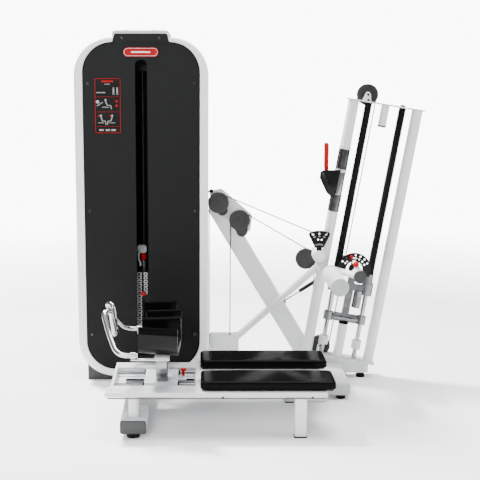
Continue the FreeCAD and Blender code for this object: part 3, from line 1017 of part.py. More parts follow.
# ---------------------------------------------------------------- the nodes
# Pieces of one body and one material share a node as a group of solids.
JOINED = {
    "base_beams": ["left_base_beam", "right_base_beam", "rear_base_beam", "base_pulley_housing"],
    "beam_end_caps": ["left_end_cap", "right_end_cap"],
    "bench_legs": ["bench_legs", "bench_tie", "bench_front_post", "bench_rear_post"],
    "tower_frame": ["tower_front_frame", "tower_rear_frame", "tower_top_cap"],
    "front_cover": ["front_cover", "cover_tab"],
    "plaques": ["placard", "badge"],
    "stack_frame": ["head_beam", "stack_base"],
    "lifted_plates": ["lifted_plates", "head_plate"],
    "selector_stem": ["selector_stem", "stem_head"],
    "rubber_buffers": ["stack_buffers", "stop_rings"],
    "slide_rails": ["slide_rails", "stop_bar"],
    "support_frame": ["support_block", "support_post", "support_crossbar", "bar_mounts"],
    "handlebar": ["handlebar", "handle_clamps"],
    "leaning_plates": ["tower_base_plate", "tower_top_plate", "tower_pedestal"],
    "side_tubes": ["side_tubes", "lower_stop_post", "upper_stop_tube"],
    "guide_rods": ["guide_rods", "stack_guide_rods"],
    "rod_collars": ["rod_collars", "tube_clamp_rings"],
    "brake_housing": ["brake_housing", "tube_sleeves"],
    "carriage_tubes": ["carriage_bearings", "carriage_cross_tube", "carriage_stay"],
    "carriage_spine": ["carriage_spine", "hub_shaft", "cable_clamp"],
    "roller_arm": ["roller_arm", "roller_axle", "hub_cap"],
    "front_sector": ["front_sector", "range_pin"],
    "load_cable": ["load_cable", "top_cable"],
    "pulley_brackets": ["base_pulley_cheeks", "loop_pulley_brackets", "top_cable_anchor",
                        "turnbuckle_bracket", "turnbuckle", "tension_knob"],
    "fasteners": ["pulley_axles", "brake_axle", "gas_spring_pin", "cover_screws"],
    "brace": ["brace_beam", "brace_strut", "brace_head_plate", "strut_foot"],
}
shared = {piece for names in JOINED.values() for piece in names}
nodes = {name: shape for name, shape in pieces.items() if name not in shared}
for node, names in JOINED.items():
    nodes[node] = group([solid for name in names for solid in pieces[name].Solids])
for name, shape in nodes.items():
    shape.exportStep(f"parts/{name}.step")
print(len(nodes), "nodes")
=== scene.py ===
import math

import bmesh
import bpy
from mathutils import Matrix, Vector


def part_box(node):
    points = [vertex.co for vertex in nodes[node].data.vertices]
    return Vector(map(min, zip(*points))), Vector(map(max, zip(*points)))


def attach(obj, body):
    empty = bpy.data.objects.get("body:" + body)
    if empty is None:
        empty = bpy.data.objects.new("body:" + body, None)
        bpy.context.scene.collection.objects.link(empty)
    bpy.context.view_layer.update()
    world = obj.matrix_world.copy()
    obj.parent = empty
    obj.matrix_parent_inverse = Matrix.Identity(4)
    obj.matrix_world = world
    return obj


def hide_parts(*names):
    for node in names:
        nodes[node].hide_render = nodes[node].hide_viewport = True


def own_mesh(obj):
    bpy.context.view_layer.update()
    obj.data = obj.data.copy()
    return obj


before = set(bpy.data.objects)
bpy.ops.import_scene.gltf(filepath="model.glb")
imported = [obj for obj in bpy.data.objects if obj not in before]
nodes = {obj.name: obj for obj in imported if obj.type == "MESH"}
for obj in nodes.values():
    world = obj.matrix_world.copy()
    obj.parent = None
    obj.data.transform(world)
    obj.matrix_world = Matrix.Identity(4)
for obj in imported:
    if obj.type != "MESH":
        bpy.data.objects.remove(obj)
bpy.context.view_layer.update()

# Sizes are metres in the frame of the CAD: +Z up, -Y towards the bench side. The leaning tower has
# directions of its own, across it and up it, from the foot of its middle line.
TOWER_X = -0.580
COVER_FACE_Y = 0.262
PLATE_FRONT_Y = 0.340
STACK_Y = 0.410
STACK_LOW, PLATE_PITCH = 0.180, 0.021
RESTING_PLATES, ALL_PLATES = 14, 20
FRONT, UP = (0, -1, 0), (0, 0, 1)
LEAN = math.radians(9.4)
LEAN_FOOT = Vector((0.4995, 0.3675, 0.117))
LEAN_ACROSS = Vector((math.cos(LEAN), 0, -math.sin(LEAN)))
LEAN_UP = Vector((math.sin(LEAN), 0, math.cos(LEAN)))
ROD_ACROSS = 0.0925
TUBE_ACROSS = -0.174
# Middles of the two pulleys that have guards, as X and Z, and the front faces of the guards.
UPPER_PULLEY, BRACE_PULLEY = (-0.1694, 0.984), (-0.051, 0.8777)
UPPER_GUARD_Y, BRACE_GUARD_Y = 0.3585, 0.4226


# ------------------------------------------------------------------ camera
camera_data = bpy.data.cameras.new("camera")
camera = bpy.data.objects.new("camera", camera_data)
bpy.context.scene.collection.objects.link(camera)
camera.location = (-0.2805, -5.0325, 1.668)
camera.rotation_euler = (math.radians(80.6), 0, 0)
camera_data.lens = 74.6
camera_data.sensor_width = 36
camera_data.shift_x = 0.0875
bpy.context.scene.camera = camera


# --------------------------------------------------------------- materials
class Shader:
    """Node builder for one material with a Principled surface."""

    def __init__(self, name, shine=0.5, metallic=0.0):
        self.material = bpy.data.materials.new(name)
        self.material.use_nodes = True
        self.tree = self.material.node_tree
        self.surface = self.tree.nodes["Principled BSDF"]
        self.surface.inputs["Specular IOR Level"].default_value = shine
        self.surface.inputs["Metallic"].default_value = metallic
        self.place = self.tree.nodes.new("ShaderNodeTexCoord").outputs["Object"]
        self.normal = None

    def node(self, kind, settings=(), **values):
        made = self.tree.nodes.new(kind)
        for key, value in dict(settings).items():
            setattr(made, key, value)
        for key, value in values.items():
            made.inputs[key.replace("_", " ")].default_value = value
        return made

    def link(self, out, into):
        self.tree.links.new(out, into)

    def noise(self, scale, detail=3.0, stretch=None):
        """Noise in the object's own space, drawn out along an axis by a small stretch there."""
        made = self.node("ShaderNodeTexNoise", Scale=scale, Detail=detail)
        source = self.place
        if stretch:
            mapping = self.node("ShaderNodeMapping", Scale=stretch)
            self.link(source, mapping.inputs["Vector"])
            source = mapping.outputs["Vector"]
        self.link(source, made.inputs["Vector"])
        return made.outputs["Fac"]

    def remap(self, value, low, high, from_low=0.35, from_high=0.65):
        """The middle of a noise, or another stated range, spread over low to high."""
        made = self.node("ShaderNodeMapRange")
        for i, number in enumerate((from_low, from_high, low, high)):
            made.inputs[i + 1].default_value = number
        self.link(value, made.inputs[0])
        return made.outputs[0]

    def blend(self, factor, first, second):
        """Mix of two colours, each a tuple or another node's output."""
        made = self.node("ShaderNodeMix", {"data_type": "RGBA"})
        self.link(factor, made.inputs["Factor"])
        for name, value in (("A", first), ("B", second)):
            socket = [s for s in made.inputs if s.name == name and s.type == "RGBA"][0]
            if isinstance(value, tuple):
                socket.default_value = (*value, 1)
            else:
                self.link(value, socket)
        return [s for s in made.outputs if s.type == "RGBA"][0]

    def paint(self, color):
        self.link(color, self.surface.inputs["Base Color"])

    def mottled(self, color, vary, scale=7.0):
        """One colour in slightly darker and lighter patches."""
        patches = self.remap(self.noise(scale, 5.0), 0, 1)
        return self.blend(patches, tinted(color, -vary), tinted(color, vary))

    def roughness(self, low, high, scale=9.0):
        self.link(self.remap(self.noise(scale), low, high), self.surface.inputs["Roughness"])

    def bump(self, height, strength, distance):
        """Adds one more layer of relief over those made before."""
        made = self.node("ShaderNodeBump", Strength=strength, Distance=distance)
        self.link(height, made.inputs["Height"])
        if self.normal:
            self.link(self.normal, made.inputs["Normal"])
        self.normal = made.outputs["Normal"]
        self.link(self.normal, self.surface.inputs["Normal"])

    def axis(self, name):
        made = self.node("ShaderNodeSeparateXYZ")
        self.link(self.place, made.inputs["Vector"])
        return made.outputs[name]

    def step(self, value, level, rising=True, width=0.0005):
        """1 past the level and 0 before it, or the other way round."""
        ends = (0, 1) if rising else (1, 0)
        return self.remap(value, *ends, level - width, level + width)


def tinted(color, amount):
    """The colour made lighter, or darker by a negative share."""
    return tuple(max(0.0, c * (1 + amount)) for c in color)


def coated(name, color, rough, vary=0.03, peel=0.15, shine=0.5):
    """Powder coat or moulded plastic: mottled tone, orange peel, uneven gloss."""
    s = Shader(name, shine)
    s.paint(s.mottled(color, vary))
    s.roughness(rough - 0.05, rough + 0.06)
    s.bump(s.noise(900.0, 2.0), peel, 0.0004)
    return s


def metal(name, color, rough, stretch=(1, 1, 1), scratches=0.1):
    """Bare or plated metal with faint handling marks."""
    s = Shader(name, 0.5, 1.0)
    s.paint(s.mottled(color, 0.06, 14.0))
    s.roughness(rough * 0.75, rough * 1.4, 26.0)
    s.bump(s.noise(500.0, 3.0, stretch), scratches, 0.0002)
    return s


def cover_material():
    """Grained dark moulding, with painted light: a little lighter towards its top."""
    s = Shader("cover_moulding", 0.10)
    # Painted light: the colour runs from darker low down to lighter towards the top.
    height = s.remap(s.axis("Z"), 0, 1, 0.10, 1.85)
    s.paint(s.blend(height, (0.0052, 0.0054, 0.0056), (0.0100, 0.0104, 0.0108)))
    s.roughness(0.46, 0.56)
    s.bump(s.noise(1500.0, 2.0), 0.25, 0.0003)
    s.bump(s.noise(5.0, 2.0), 0.05, 0.004)
    return s


def vinyl_material():
    """Black vinyl: fine cell grain, gentle waves and a faintly uneven gloss."""
    s = Shader("black_vinyl", 0.03)
    s.paint(s.mottled((0.0020, 0.0020, 0.0021), 0.12, 11.0))
    s.roughness(0.15, 0.16, 20.0)
    cells = s.node("ShaderNodeTexVoronoi", {"feature": "DISTANCE_TO_EDGE"}, Scale=620.0)
    s.link(s.place, cells.inputs["Vector"])
    s.bump(cells.outputs["Distance"], 0.04, 0.0003)
    s.bump(s.noise(6.0, 1.0), 0.004, 0.0010)
    return s


def plate_material():
    """Dark painted iron with chipped paint."""
    s = Shader("weight_plate_iron", 0.2)
    chips = s.remap(s.noise(120.0, 6.0), 0, 1, 0.60, 0.68)
    s.paint(s.blend(chips, (0.004, 0.004, 0.004), (0.020, 0.020, 0.021)))
    s.roughness(0.42, 0.60, 30.0)
    s.bump(s.noise(260.0, 4.0), 0.30, 0.0006)
    return s


def rope_material():
    """Twisted wire rope: slanting strands as bump and tone."""
    s = Shader("wire_rope", 0.4)
    wave = s.node("ShaderNodeTexWave", {"bands_direction": "DIAGONAL"}, Scale=180.0, Distortion=1.0)
    s.link(s.place, wave.inputs["Vector"])
    s.paint(s.blend(wave.outputs["Fac"], (0.012, 0.012, 0.013), (0.07, 0.072, 0.075)))
    s.roughness(0.34, 0.5, 40.0)
    s.bump(wave.outputs["Fac"], 0.5, 0.0004)
    return s


def rod_material():
    """Ground rods: very dark on the weight tower's side; brighter on the leaning tower, with painted
    reflections drawn as streaks.
    """
    s = Shader("guide_rod_steel", 0.5, 1.0)
    # Painted reflection: light and dark streaks along the leaning rods.
    painted_reflection_streaks = s.remap(s.noise(60.0, 3.0, (1, 1, 0.02)), 0, 1)
    bright = s.blend(painted_reflection_streaks, (0.20, 0.205, 0.21), (0.42, 0.425, 0.43))
    s.paint(s.blend(s.step(s.axis("X"), 0.0), (0.012, 0.012, 0.013), bright))
    s.roughness(0.12, 0.20, 30.0)
    s.bump(s.noise(500.0, 3.0), 0.03, 0.0002)
    return s


def two_tone(name, base, other, axis, level, rising, shine=0.35):
    """Base coat with another colour on one side of a level: past it if rising, else before it."""
    s = Shader(name, shine)
    mask = s.step(s.axis(axis), level, rising)
    s.paint(s.blend(mask, s.mottled(base, 0.03), s.mottled(other, 0.05)))
    s.roughness(0.30, 0.42)
    s.bump(s.noise(900.0, 2.0), 0.12, 0.0004)
    return s


WHITE = (0.84, 0.85, 0.86)
RED = (0.34, 0.002, 0.003)
BLACK = (0.0035, 0.0035, 0.0038)
LOOKS = {
    "white": coated("white_powder_coat", WHITE, 0.34, 0.015, 0.10),
    # Painted shade: the tray and tubes looks are darker copies of the white powder coat, standing in for
    # shading on the parts listed under them below.
    "tray": coated("white_coat_painted_shade_tray", (0.60, 0.61, 0.625), 0.30, 0.02, 0.10),
    "tubes": coated("white_coat_painted_shade_tubes", (0.70, 0.71, 0.725), 0.30, 0.02, 0.10),
    "shell": coated("grey_white_side_shell", (0.66, 0.67, 0.685), 0.42, 0.02, 0.10),
    "roller": coated("roller_skin", (0.86, 0.87, 0.88), 0.45, 0.02, 0.10, 0.3),
    "black_paint": coated("black_powder_coat", BLACK, 0.38, 0.15, 0.2, 0.15),
    "graphite": metal("graphite_steel", (0.11, 0.113, 0.117), 0.34),
    "satin": metal("satin_steel", (0.21, 0.215, 0.22), 0.30),
    "pulley": coated("pulley_plastic", (0.022, 0.0225, 0.0235), 0.36, 0.10, 0.12, 0.35),
    "shell_dark": coated("arm_shell_plastic", (0.0030, 0.0030, 0.0032), 0.40, 0.15, 0.25, 0.16),
    "plinth": coated("plinth_coat", (0.045, 0.046, 0.048), 0.5, 0.08, 0.2, 0.2),
    "rubber": coated("black_rubber", (0.0028, 0.0028, 0.0030), 0.62, 0.2, 0.35, 0.10),
    "red": coated("red_plastic", RED, 0.30, 0.06, 0.06, 0.15),
    "print_white": coated("printed_white", (0.82, 0.82, 0.81), 0.40, 0.02, 0.03, 0.2),
    "ink": coated("black_plastic", BLACK, 0.35, 0.15, 0.08, 0.15),
    "screw": coated("blackened_steel", (0.006, 0.006, 0.007), 0.30, 0.2, 0.10, 0.5),
    "print_grey": coated("printed_grey", (0.30, 0.30, 0.30), 0.45, 0.04, 0.03, 0.1),
    # Painted shade: the roller's white end disc coloured grey.
    "disc": coated("roller_end_disc_painted_shade", (0.42, 0.43, 0.44), 0.40, 0.04, 0.06, 0.3),
    "lip_edge": coated("lip_edge_painted_shade", (0.10, 0.102, 0.105), 0.45, 0.06, 0.08, 0.2),
    "chrome": metal("chrome", (0.46, 0.465, 0.47), 0.10, scratches=0.03),
    "post": metal("post_chrome", (0.24, 0.245, 0.25), 0.16, scratches=0.03),
    "rods": rod_material(),
    "dark_chrome": metal("dark_chrome", (0.16, 0.165, 0.17), 0.16, scratches=0.03),
    "steel": metal("turned_steel", (0.55, 0.56, 0.57), 0.28, stretch=(1, 12, 1), scratches=0.25),
    "cover": cover_material(),
    "vinyl": vinyl_material(),
    "plates": plate_material(),
    "rope": rope_material(),
    "end_caps": two_tone("end_cap_plastic", (0.030, 0.031, 0.032), (0.42, 0.43, 0.44), "X", 0.0, True),
    "hub": two_tone("roller_arm_coat", WHITE, (0.030, 0.031, 0.032), "Y", 0.1178, False),
    "sector": two_tone("sector_coat", BLACK, RED, "Y", 0.310, False, 0.2),
}

CAD_LOOKS = {
    "white": ["tower_frame", "side_hub", "rocker", "pulley_brackets"],
    "tray": ["bench_tray", "leaning_plates", "rod_collars", "support_frame"],
    "tubes": ["base_beams", "bench_legs", "brace", "side_tubes"],
    "shell": ["tower_side_shell"],
    "cover": ["front_cover", "rear_cover"],
    "graphite": ["carriage_spine"],
    "satin": ["carriage_tubes"],
    "black_paint": ["stack_frame", "side_sector", "gas_spring_tube"],
    "plinth": ["tower_plinth"],
    "ink": ["brake_housing", "plaques"],
    "shell_dark": ["arm_pad_shells"],
    "pulley": [name for name in nodes if "_pulley" in name],
    "roller": ["roller"],
    "plates": ["resting_plates", "lifted_plates"],
    "steel": ["selector_stem"],
    "screw": ["fasteners"],
    "rope": ["load_cable", "tension_cable", "stack_cable"],
    "chrome": ["handlebar", "gas_spring_rod"],
    "rods": ["guide_rods"],
    "dark_chrome": ["slide_rails"],
    "vinyl": ["front_pad", "rear_pad", "front_arm_pad", "rear_arm_pad"],
    "rubber": ["rubber_feet", "rubber_buffers", "rod_bellows", "rail_wipers"],
    "red": ["brake_lever", "selector_pin", "support_pin", "sector_pin"],
    "end_caps": ["beam_end_caps"],
    "hub": ["roller_arm"],
    "sector": ["front_sector"],
}
for look, names in CAD_LOOKS.items():
    for name in names:
        mesh = nodes[name].data
        mesh.materials.clear()
        mesh.materials.append(LOOKS[look].material)


# ------------------------------------------------------------ mesh helpers
def piece(name, verts, faces, look, body, slot, smooth=35.0):
    """Mesh object with its look, riding on a body; edges sharper than smooth, in degrees, stay sharp."""
    mesh = bpy.data.meshes.new(name)
    mesh.from_pydata([tuple(v) for v in verts], [], faces)
    work = bmesh.new()
    work.from_mesh(mesh)
    bmesh.ops.remove_doubles(work, verts=work.verts, dist=1e-6)
    bmesh.ops.recalc_face_normals(work, faces=work.faces)
    work.to_mesh(mesh)
    work.free()
    for polygon in mesh.polygons:
        polygon.use_smooth = True
    mesh.set_sharp_from_angle(angle=math.radians(smooth))
    mesh.materials.append(LOOKS[look].material)
    made = bpy.data.objects.new(name, mesh)
    bpy.context.scene.collection.objects.link(made)
    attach(made, body)
    return made


def loft(rings, cap=True):
    """Faces between closed rings that all have the same number of points."""
    count = len(rings[0])
    verts = [Vector(p) for ring in rings for p in ring]
    faces = []
    for i in range(len(rings) - 1):
        for j in range(count):
            k = (j + 1) % count
            faces.append((i * count + j, i * count + k, (i + 1) * count + k, (i + 1) * count + j))
    if cap:
        faces.append(tuple(range(count)))
        faces.append(tuple((len(rings) - 1) * count + j for j in range(count)))
    return verts, faces


def joined(parts):
    """One vertex and face list from several."""
    verts, faces = [], []
    for some_verts, some_faces in parts:
        base = len(verts)
        verts += some_verts
        faces += [tuple(i + base for i in face) for face in some_faces]
    return verts, faces


def turned(profile, centre, axis, segments=40, cap=True):
    """Turned shape; the profile is a list of radius and distance along the axis."""
    axis = Vector(axis).normalized()
    side = axis.orthogonal().normalized()
    other = axis.cross(side)
    rings = []
    for radius, along in profile:
        middle = Vector(centre) + axis * along
        rings.append([middle + radius * (side * math.cos(a) + other * math.sin(a))
                      for a in (2 * math.pi * i / segments for i in range(segments))])
    return loft(rings, cap)


def slab(outline, y0, y1, edge=0.0006):
    """Plate cut to an outline of X and Z points, its rims eased."""
    cx = sum(p[0] for p in outline) / len(outline)
    cz = sum(p[1] for p in outline) / len(outline)

    def ring(y, inset):
        out = []
        for x, z in outline:
            d = Vector((x - cx, z - cz))
            d = d.normalized() * max(0.0, d.length - inset)
            out.append((cx + d.x, y, cz + d.y))
        return out
    return loft([ring(y0, edge), ring(y0 + edge, 0), ring(y1 - edge, 0), ring(y1, edge)])


def round_rect(x0, x1, z0, z1, radius, steps=6):
    """Outline of a rectangle with round corners."""
    points = []
    for cx, cz, start in ((x1 - radius, z1 - radius, 0), (x0 + radius, z1 - radius, 90),
                          (x0 + radius, z0 + radius, 180), (x1 - radius, z0 + radius, 270)):
        for i in range(steps + 1):
            a = math.radians(start + 90 * i / steps)
            points.append((cx + radius * math.cos(a), cz + radius * math.sin(a)))
    return points


def swept(points, radius, segments=12):
    """Round tube along a list of points, with its frame carried along."""
    points = [Vector(p) for p in points]
    heading = (points[1] - points[0]).normalized()
    side = heading.orthogonal().normalized()
    rings = []
    for i, point in enumerate(points):
        ahead = points[min(i + 1, len(points) - 1)] - points[max(i - 1, 0)]
        heading = ahead.normalized()
        side = (side - heading * side.dot(heading)).normalized()
        other = heading.cross(side)
        rings.append([point + radius * (side * math.cos(a) + other * math.sin(a))
                      for a in (2 * math.pi * j / segments for j in range(segments))])
    return loft(rings)


def plate_piece(name, outline, y0, y1, look, body, slot):
    piece(name, *slab(outline, y0, y1), look, body, slot)


def lean_at(across, up):
    """Point of the leaning tower, across it and up it from its foot."""
    return LEAN_FOOT + LEAN_ACROSS * across + LEAN_UP * up


# -------------------------------------------------------------- bench pads
def pad(name, node):
    """Foam pad under stretched vinyl: crowned top, seam below its round edge, drawn-in sides, board."""
    low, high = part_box(node)
    cx, cy = (low.x + high.x) / 2, (low.y + high.y) / 2
    hx, hy = (high.x - low.x) / 2, (high.y - low.y) / 2
    board_height, corner, edge = 0.008, 0.024, 0.012
    end_crown, side_crown, crown_depth, long_side = 0.0026, 0.0016, 0.0145, 0.03
    bottom, top = low.z + board_height, high.z

    def ring(inset, z, bulge=0.0):
        ax, ay = hx - inset, max(hy - inset, 0.0005)
        radius = min(max(corner - inset, 0.002), ay)
        corners = ((ax, ay, 0), (-ax, ay, 90), (-ax, -ay, 180), (ax, -ay, 270))
        out = []
        for i, (sx, sy, start) in enumerate(corners):
            ox = sx - math.copysign(radius, sx)
            oy = sy - math.copysign(radius, sy)
            for k in range(9):
                a = math.radians(start + 90 * k / 8)
                out.append(Vector((ox + radius * math.cos(a), oy + radius * math.sin(a), 0)))
            nx, ny, _ = corners[(i + 1) % 4]
            after = Vector((nx - math.copysign(radius, nx), ny - math.copysign(radius, ny), 0))
            a = math.radians(start + 90)
            after += radius * Vector((math.cos(a), math.sin(a), 0))
            last = out[-1].copy()
            steps = 30 if abs(after.x - last.x) > abs(after.y - last.y) else 12
            for k in range(1, steps):
                out.append(last.lerp(after, k / steps))
        done = []
        for p in out:
            waist = 0.0
            if abs(p.y) > hy - long_side:
                waist = bulge * math.cos(math.pi / 2 * min(1.0, abs(p.x) / hx))
            y = p.y - math.copysign(waist, p.y)
            crown = 0.0
            if z >= top - crown_depth:
                crown = -end_crown * (abs(p.x / hx) ** 4) - side_crown * (p.y / hy) ** 2
            done.append((cx + p.x, cy + y, z + crown))
        return done

    rings = [ring(0.014, bottom), ring(0.003, bottom + 0.0006), ring(0.0, bottom + 0.004)]
    rings += [ring(0.0, bottom + 0.012 + 0.002 * k, 0.0008) for k in range(3)]
    rings += [ring(inset, top - down, bulge) for inset, down, bulge in
              ((0.0004, 0.0150, 0.0006), (0.0020, 0.0138, 0.0006), (0.0006, 0.0126, 0.0004))]
    for k in range(1, 9):
        a = math.radians(90 * k / 8)
        rings.append(ring(edge * (1 - math.cos(a)) + 0.0004, top - edge + edge * math.sin(a)))
    for k in range(1, 9):
        rings.append(ring(edge + 0.0004 + (hy - 0.0135) * k / 8, top))
    made = piece(name, *loft(rings), "vinyl", "root", "black_vinyl", 60)
    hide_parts(node)
    board = loft([[(p[0], p[1], z) for p in ring(edge, z)] for z in (low.z, bottom - 0.0005)])
    piece(name + "_board", *board, "ink", "root", "black_plastic")


pad("front_bench_cushion", "front_pad")
pad("rear_bench_cushion", "rear_pad")


# -------------------------------------------------------- forearm cushions
def arm_cushion(name, node, corner, yaw, length, widths):
    """U-shaped foam liner with a seam beside each rounded lip, its ends rolled over."""
    height, half, bend, roll = 0.128, 0.0113, 0.046, 0.007
    wall_middle, fullness, seam, facet = 0.62, 0.0004, 0.90, 15
    radius = bend - half

    def middle_line(width):
        reach = width / 2 - half
        line = [(-reach, height - half), (-reach, height * wall_middle)]
        for sign, start in ((-1, 180), (1, 270)):
            for i in range(9):
                a = math.radians(start + 90 * i / 8)
                y = sign * (reach - radius) + radius * math.cos(a)
                line.append((y, half + radius + radius * math.sin(a)))
        return line + [(reach, height * wall_middle), (reach, height - half)]

    def section(x, inset):
        line = middle_line(widths[0] + (widths[1] - widths[0]) * x / length)
        thick = half - inset
        inner, outer = [], []
        for i, (y, z) in enumerate(line):
            before, after = line[max(i - 1, 0)], line[min(i + 1, len(line) - 1)]
            run = Vector((after[0] - before[0], after[1] - before[1])).normalized()
            inner.append((x, y - run.y * thick, z + run.x * thick))
            outer.append((x, y + run.y * thick, z - run.x * thick))

        def lip(centre):
            points = []
            for k in range(1, 12):
                a = math.radians(facet * k)
                r = thick * (seam if k in (2, 10) else 1.0)
                points.append((x, centre[0] + r * math.cos(a), centre[1] + r * math.sin(a)))
            return points
        return outer + lip(line[-1]) + inner[::-1] + lip(line[0])

    turns = [math.radians(facet * k) for k in range(7)]
    rings = [section(roll * (1 - math.cos(a)), roll * (1 - math.sin(a))) for a in turns]
    rings += [section(roll + (length - 2 * roll) * k / 8, -fullness * math.sin(math.pi * k / 8))
              for k in range(1, 8)]
    rings += [section(length - roll * (1 - math.cos(a)), roll * (1 - math.sin(a))) for a in turns[::-1]]
    verts, faces = loft(rings)
    place = Matrix.Translation(corner) @ Matrix.Rotation(math.radians(yaw), 4, "Z")
    made = piece(name, [place @ v for v in verts], faces, "vinyl", "support", "black_vinyl", 60)
    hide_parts(node)


REST_Z = 0.381
arm_cushion("front_forearm_cushion", "front_arm_pad", Vector((-0.556, -0.434, REST_Z)), -3, 0.188,
            (0.190, 0.260))
arm_cushion("rear_forearm_cushion", "rear_arm_pad", Vector((-0.554, -0.084, REST_Z)), 8, 0.180,
            (0.222, 0.222))


# ----------------------------------------------- bellows and the stack cable
def bellows():
    """Two sleeves of folds round the leaning rods."""
    low, high, pitch, bore, cuff = 0.4884, 1.4096, 0.0115, 0.0137, 0.019
    # One fold, as radius and share of the way up it.
    fold = ((0.0175, 0.08), (0.0208, 0.36), (0.0212, 0.46), (0.0208, 0.56), (0.0172, 0.92))
    folds = int((high - low) / pitch)
    step = (high - low) / folds
    profile = [(bore, low), (cuff, low)]
    for i in range(folds):
        start = low + i * step
        profile += [(radius, start + step * share) for radius, share in fold]
    profile += [(cuff, high), (bore, high)]
    parts = [turned(profile, lean_at(across, 0), LEAN_UP, 28, False) for across in (-ROD_ACROSS, ROD_ACROSS)]
    made = piece("bellows_sleeves", *joined(parts), "rubber", "root", "black_rubber", 50)
    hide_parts("rod_bellows")
    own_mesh(made)


def stack_rope():
    """Wire rope above the stack."""
    low, high, radius, spans = 0.742, 1.775, 0.003, 60
    profile = [(radius, low + (high - low) * i / spans) for i in range(spans + 1)]
    made = piece("stack_wire_rope", *turned(profile, (TOWER_X, STACK_Y, 0), UP, 12), "rope", "root",
                 "bare_steel")
    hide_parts("stack_cable")
    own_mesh(made)


bellows()
stack_rope()


# ---------------------------------------------------- printed panel and badge
def strip(start, end, width):
    """Outline of a straight bar between two points on the panel."""
    start, end = Vector(start), Vector(end)
    along = (end - start).normalized() * width / 2
    off = Vector((-along.y, along.x))
    return [tuple(start - along + off), tuple(start - along - off), tuple(end + along - off),
            tuple(end + along + off)]


def dot(x, z, radius, count=14):
    turns = [2 * math.pi * i / count for i in range(count)]
    return [(x + radius * math.cos(a), z + radius * math.sin(a)) for a in turns]


def frame_ring(x0, x1, z0, z1, radius, width, y0, y1):
    """Raised border: a rounded rectangle with a smaller one left open."""
    outer = round_rect(x0, x1, z0, z1, radius)
    inner = round_rect(x0 + width, x1 - width, z0 + width, z1 - width, max(radius - width, 0.001))
    rings = [[(x, y, z) for x, z in line] for line, y in
             ((inner, y1), (inner, y0), (outer, y0), (outer, y1), (inner, y1))]
    return loft(rings, False)


def instruction_panel():
    """Red border, bars and plain figure-like shapes; u runs across the panel and v down it, 0 to 1."""
    x0, x1, z0, z1 = -0.827, -0.686, 1.363, 1.656
    back, front, margin = 0.2600, 0.2588, 0.003
    border = frame_ring(x0 + margin, x1 - margin, z0 + margin, z1 - margin, 0.008, 0.0026, back, front)
    piece("panel_border", *border, "red", "root", "label_panel")

    def at(u, v):
        return x0 + u * (x1 - x0), z1 - v * (z1 - z0)

    red = [strip(at(0.30, 0.065), at(0.68, 0.065), 0.009)]
    red += [strip(at(0.08, v), at(0.92, v), 0.0014) for v in (0.34, 0.61, 0.87)]
    red += [dot(*at(0.83, v), 0.0065) for v in (0.42, 0.50)]
    red += [dot(*at(u, 0.68), 0.0045) for u in (0.16, 0.60)]
    white = [strip(at(0.40, 0.115), at(0.58, 0.115), 0.003),
             strip(at(0.10, 0.265), at(0.40, 0.265), 0.0045)]
    for u in (0.72, 0.86):
        white += [dot(*at(u, 0.185), 0.004), strip(at(u, 0.215), at(u, 0.255), 0.008),
                  strip(at(u - 0.02, 0.26), at(u - 0.02, 0.30), 0.003),
                  strip(at(u + 0.02, 0.26), at(u + 0.02, 0.30), 0.003)]
    for u, v, lean in ((0.42, 0.44, 0.12), (0.24, 0.72, 0.10), (0.66, 0.72, -0.10)):
        white += [dot(*at(u, v - 0.045), 0.0055),
                  strip(at(u, v - 0.02), at(u + lean * 0.5, v + 0.05), 0.0055),
                  strip(at(u + lean * 0.5, v + 0.05), at(u + lean * 1.6, v + 0.055), 0.0042),
                  strip(at(u + lean * 1.6, v + 0.055), at(u + lean * 1.8, v + 0.11), 0.005),
                  strip(at(u - lean, v + 0.085), at(u + lean, v + 0.085), 0.003)]
    white += [strip(at(0.10, 0.50), at(0.30, 0.44), 0.004), dot(*at(0.12, 0.43), 0.009)]
    white += [strip(at(u, 0.935), at(u + 0.10, 0.935), 0.009) for u in (0.20, 0.44, 0.66)]
    for name, shapes, look in (("panel_red_marks", red, "red"),
                               ("panel_white_marks", white, "print_grey")):
        slabs = [slab(shape, front, back, 0.0002) for shape in shapes]
        piece(name, *joined(slabs), look, "root", "label_panel")


def badge():
    """Plain red plaque with a white line round it and a white bar."""
    x0, x1, z0, z1 = TOWER_X - 0.092, TOWER_X + 0.092, 1.764, 1.812
    proud, face, back, margin = 0.2566, 0.2572, 0.2592, 0.004
    plate_piece("badge_plate", round_rect(x0, x1, z0, z1, 0.0235, 12), face, back, "red", "root",
                "red_plastic")
    line = frame_ring(x0 + margin, x1 - margin, z0 + margin, z1 - margin, 0.0195, 0.0014, face, proud)
    bar_outline = round_rect(TOWER_X - 0.050, TOWER_X + 0.050, 1.7842, 1.7918, 0.0036)
    bar = slab(bar_outline, proud, face + 0.0001, 0.0002)
    piece("badge_inlay", *joined([line, bar]), "print_white", "root", "white_plastic")


instruction_panel()
badge()


# ----------------------------------------------------- weight stack details
def weight_labels(name, body, plates, columns):
    """White label on the front of each plate, with a dark mark printed on it."""
    labels, marks = [], []
    front, plate_middle = PLATE_FRONT_Y - 0.0010, 0.0100
    label_rise, mark_rise, mark_share = 0.0082, 0.0048, 0.62
    for i in plates:
        z = STACK_LOW + PLATE_PITCH * i + plate_middle
        for x, half in columns:
            label = round_rect(x - half, x + half, z - label_rise, z + label_rise, 0.002, 3)
            labels.append(slab(label, front, PLATE_FRONT_Y))
            reach = half * mark_share
            mark = round_rect(x - reach, x + reach, z - mark_rise, z + mark_rise, 0.001, 2)
            marks.append(slab(mark, front - 0.0005, front + 0.0002, 0.0001))
    piece(name, *joined(labels), "print_white", body, "white_plastic")
    piece(name + "_marks", *joined(marks), "ink", body, "black_plastic")


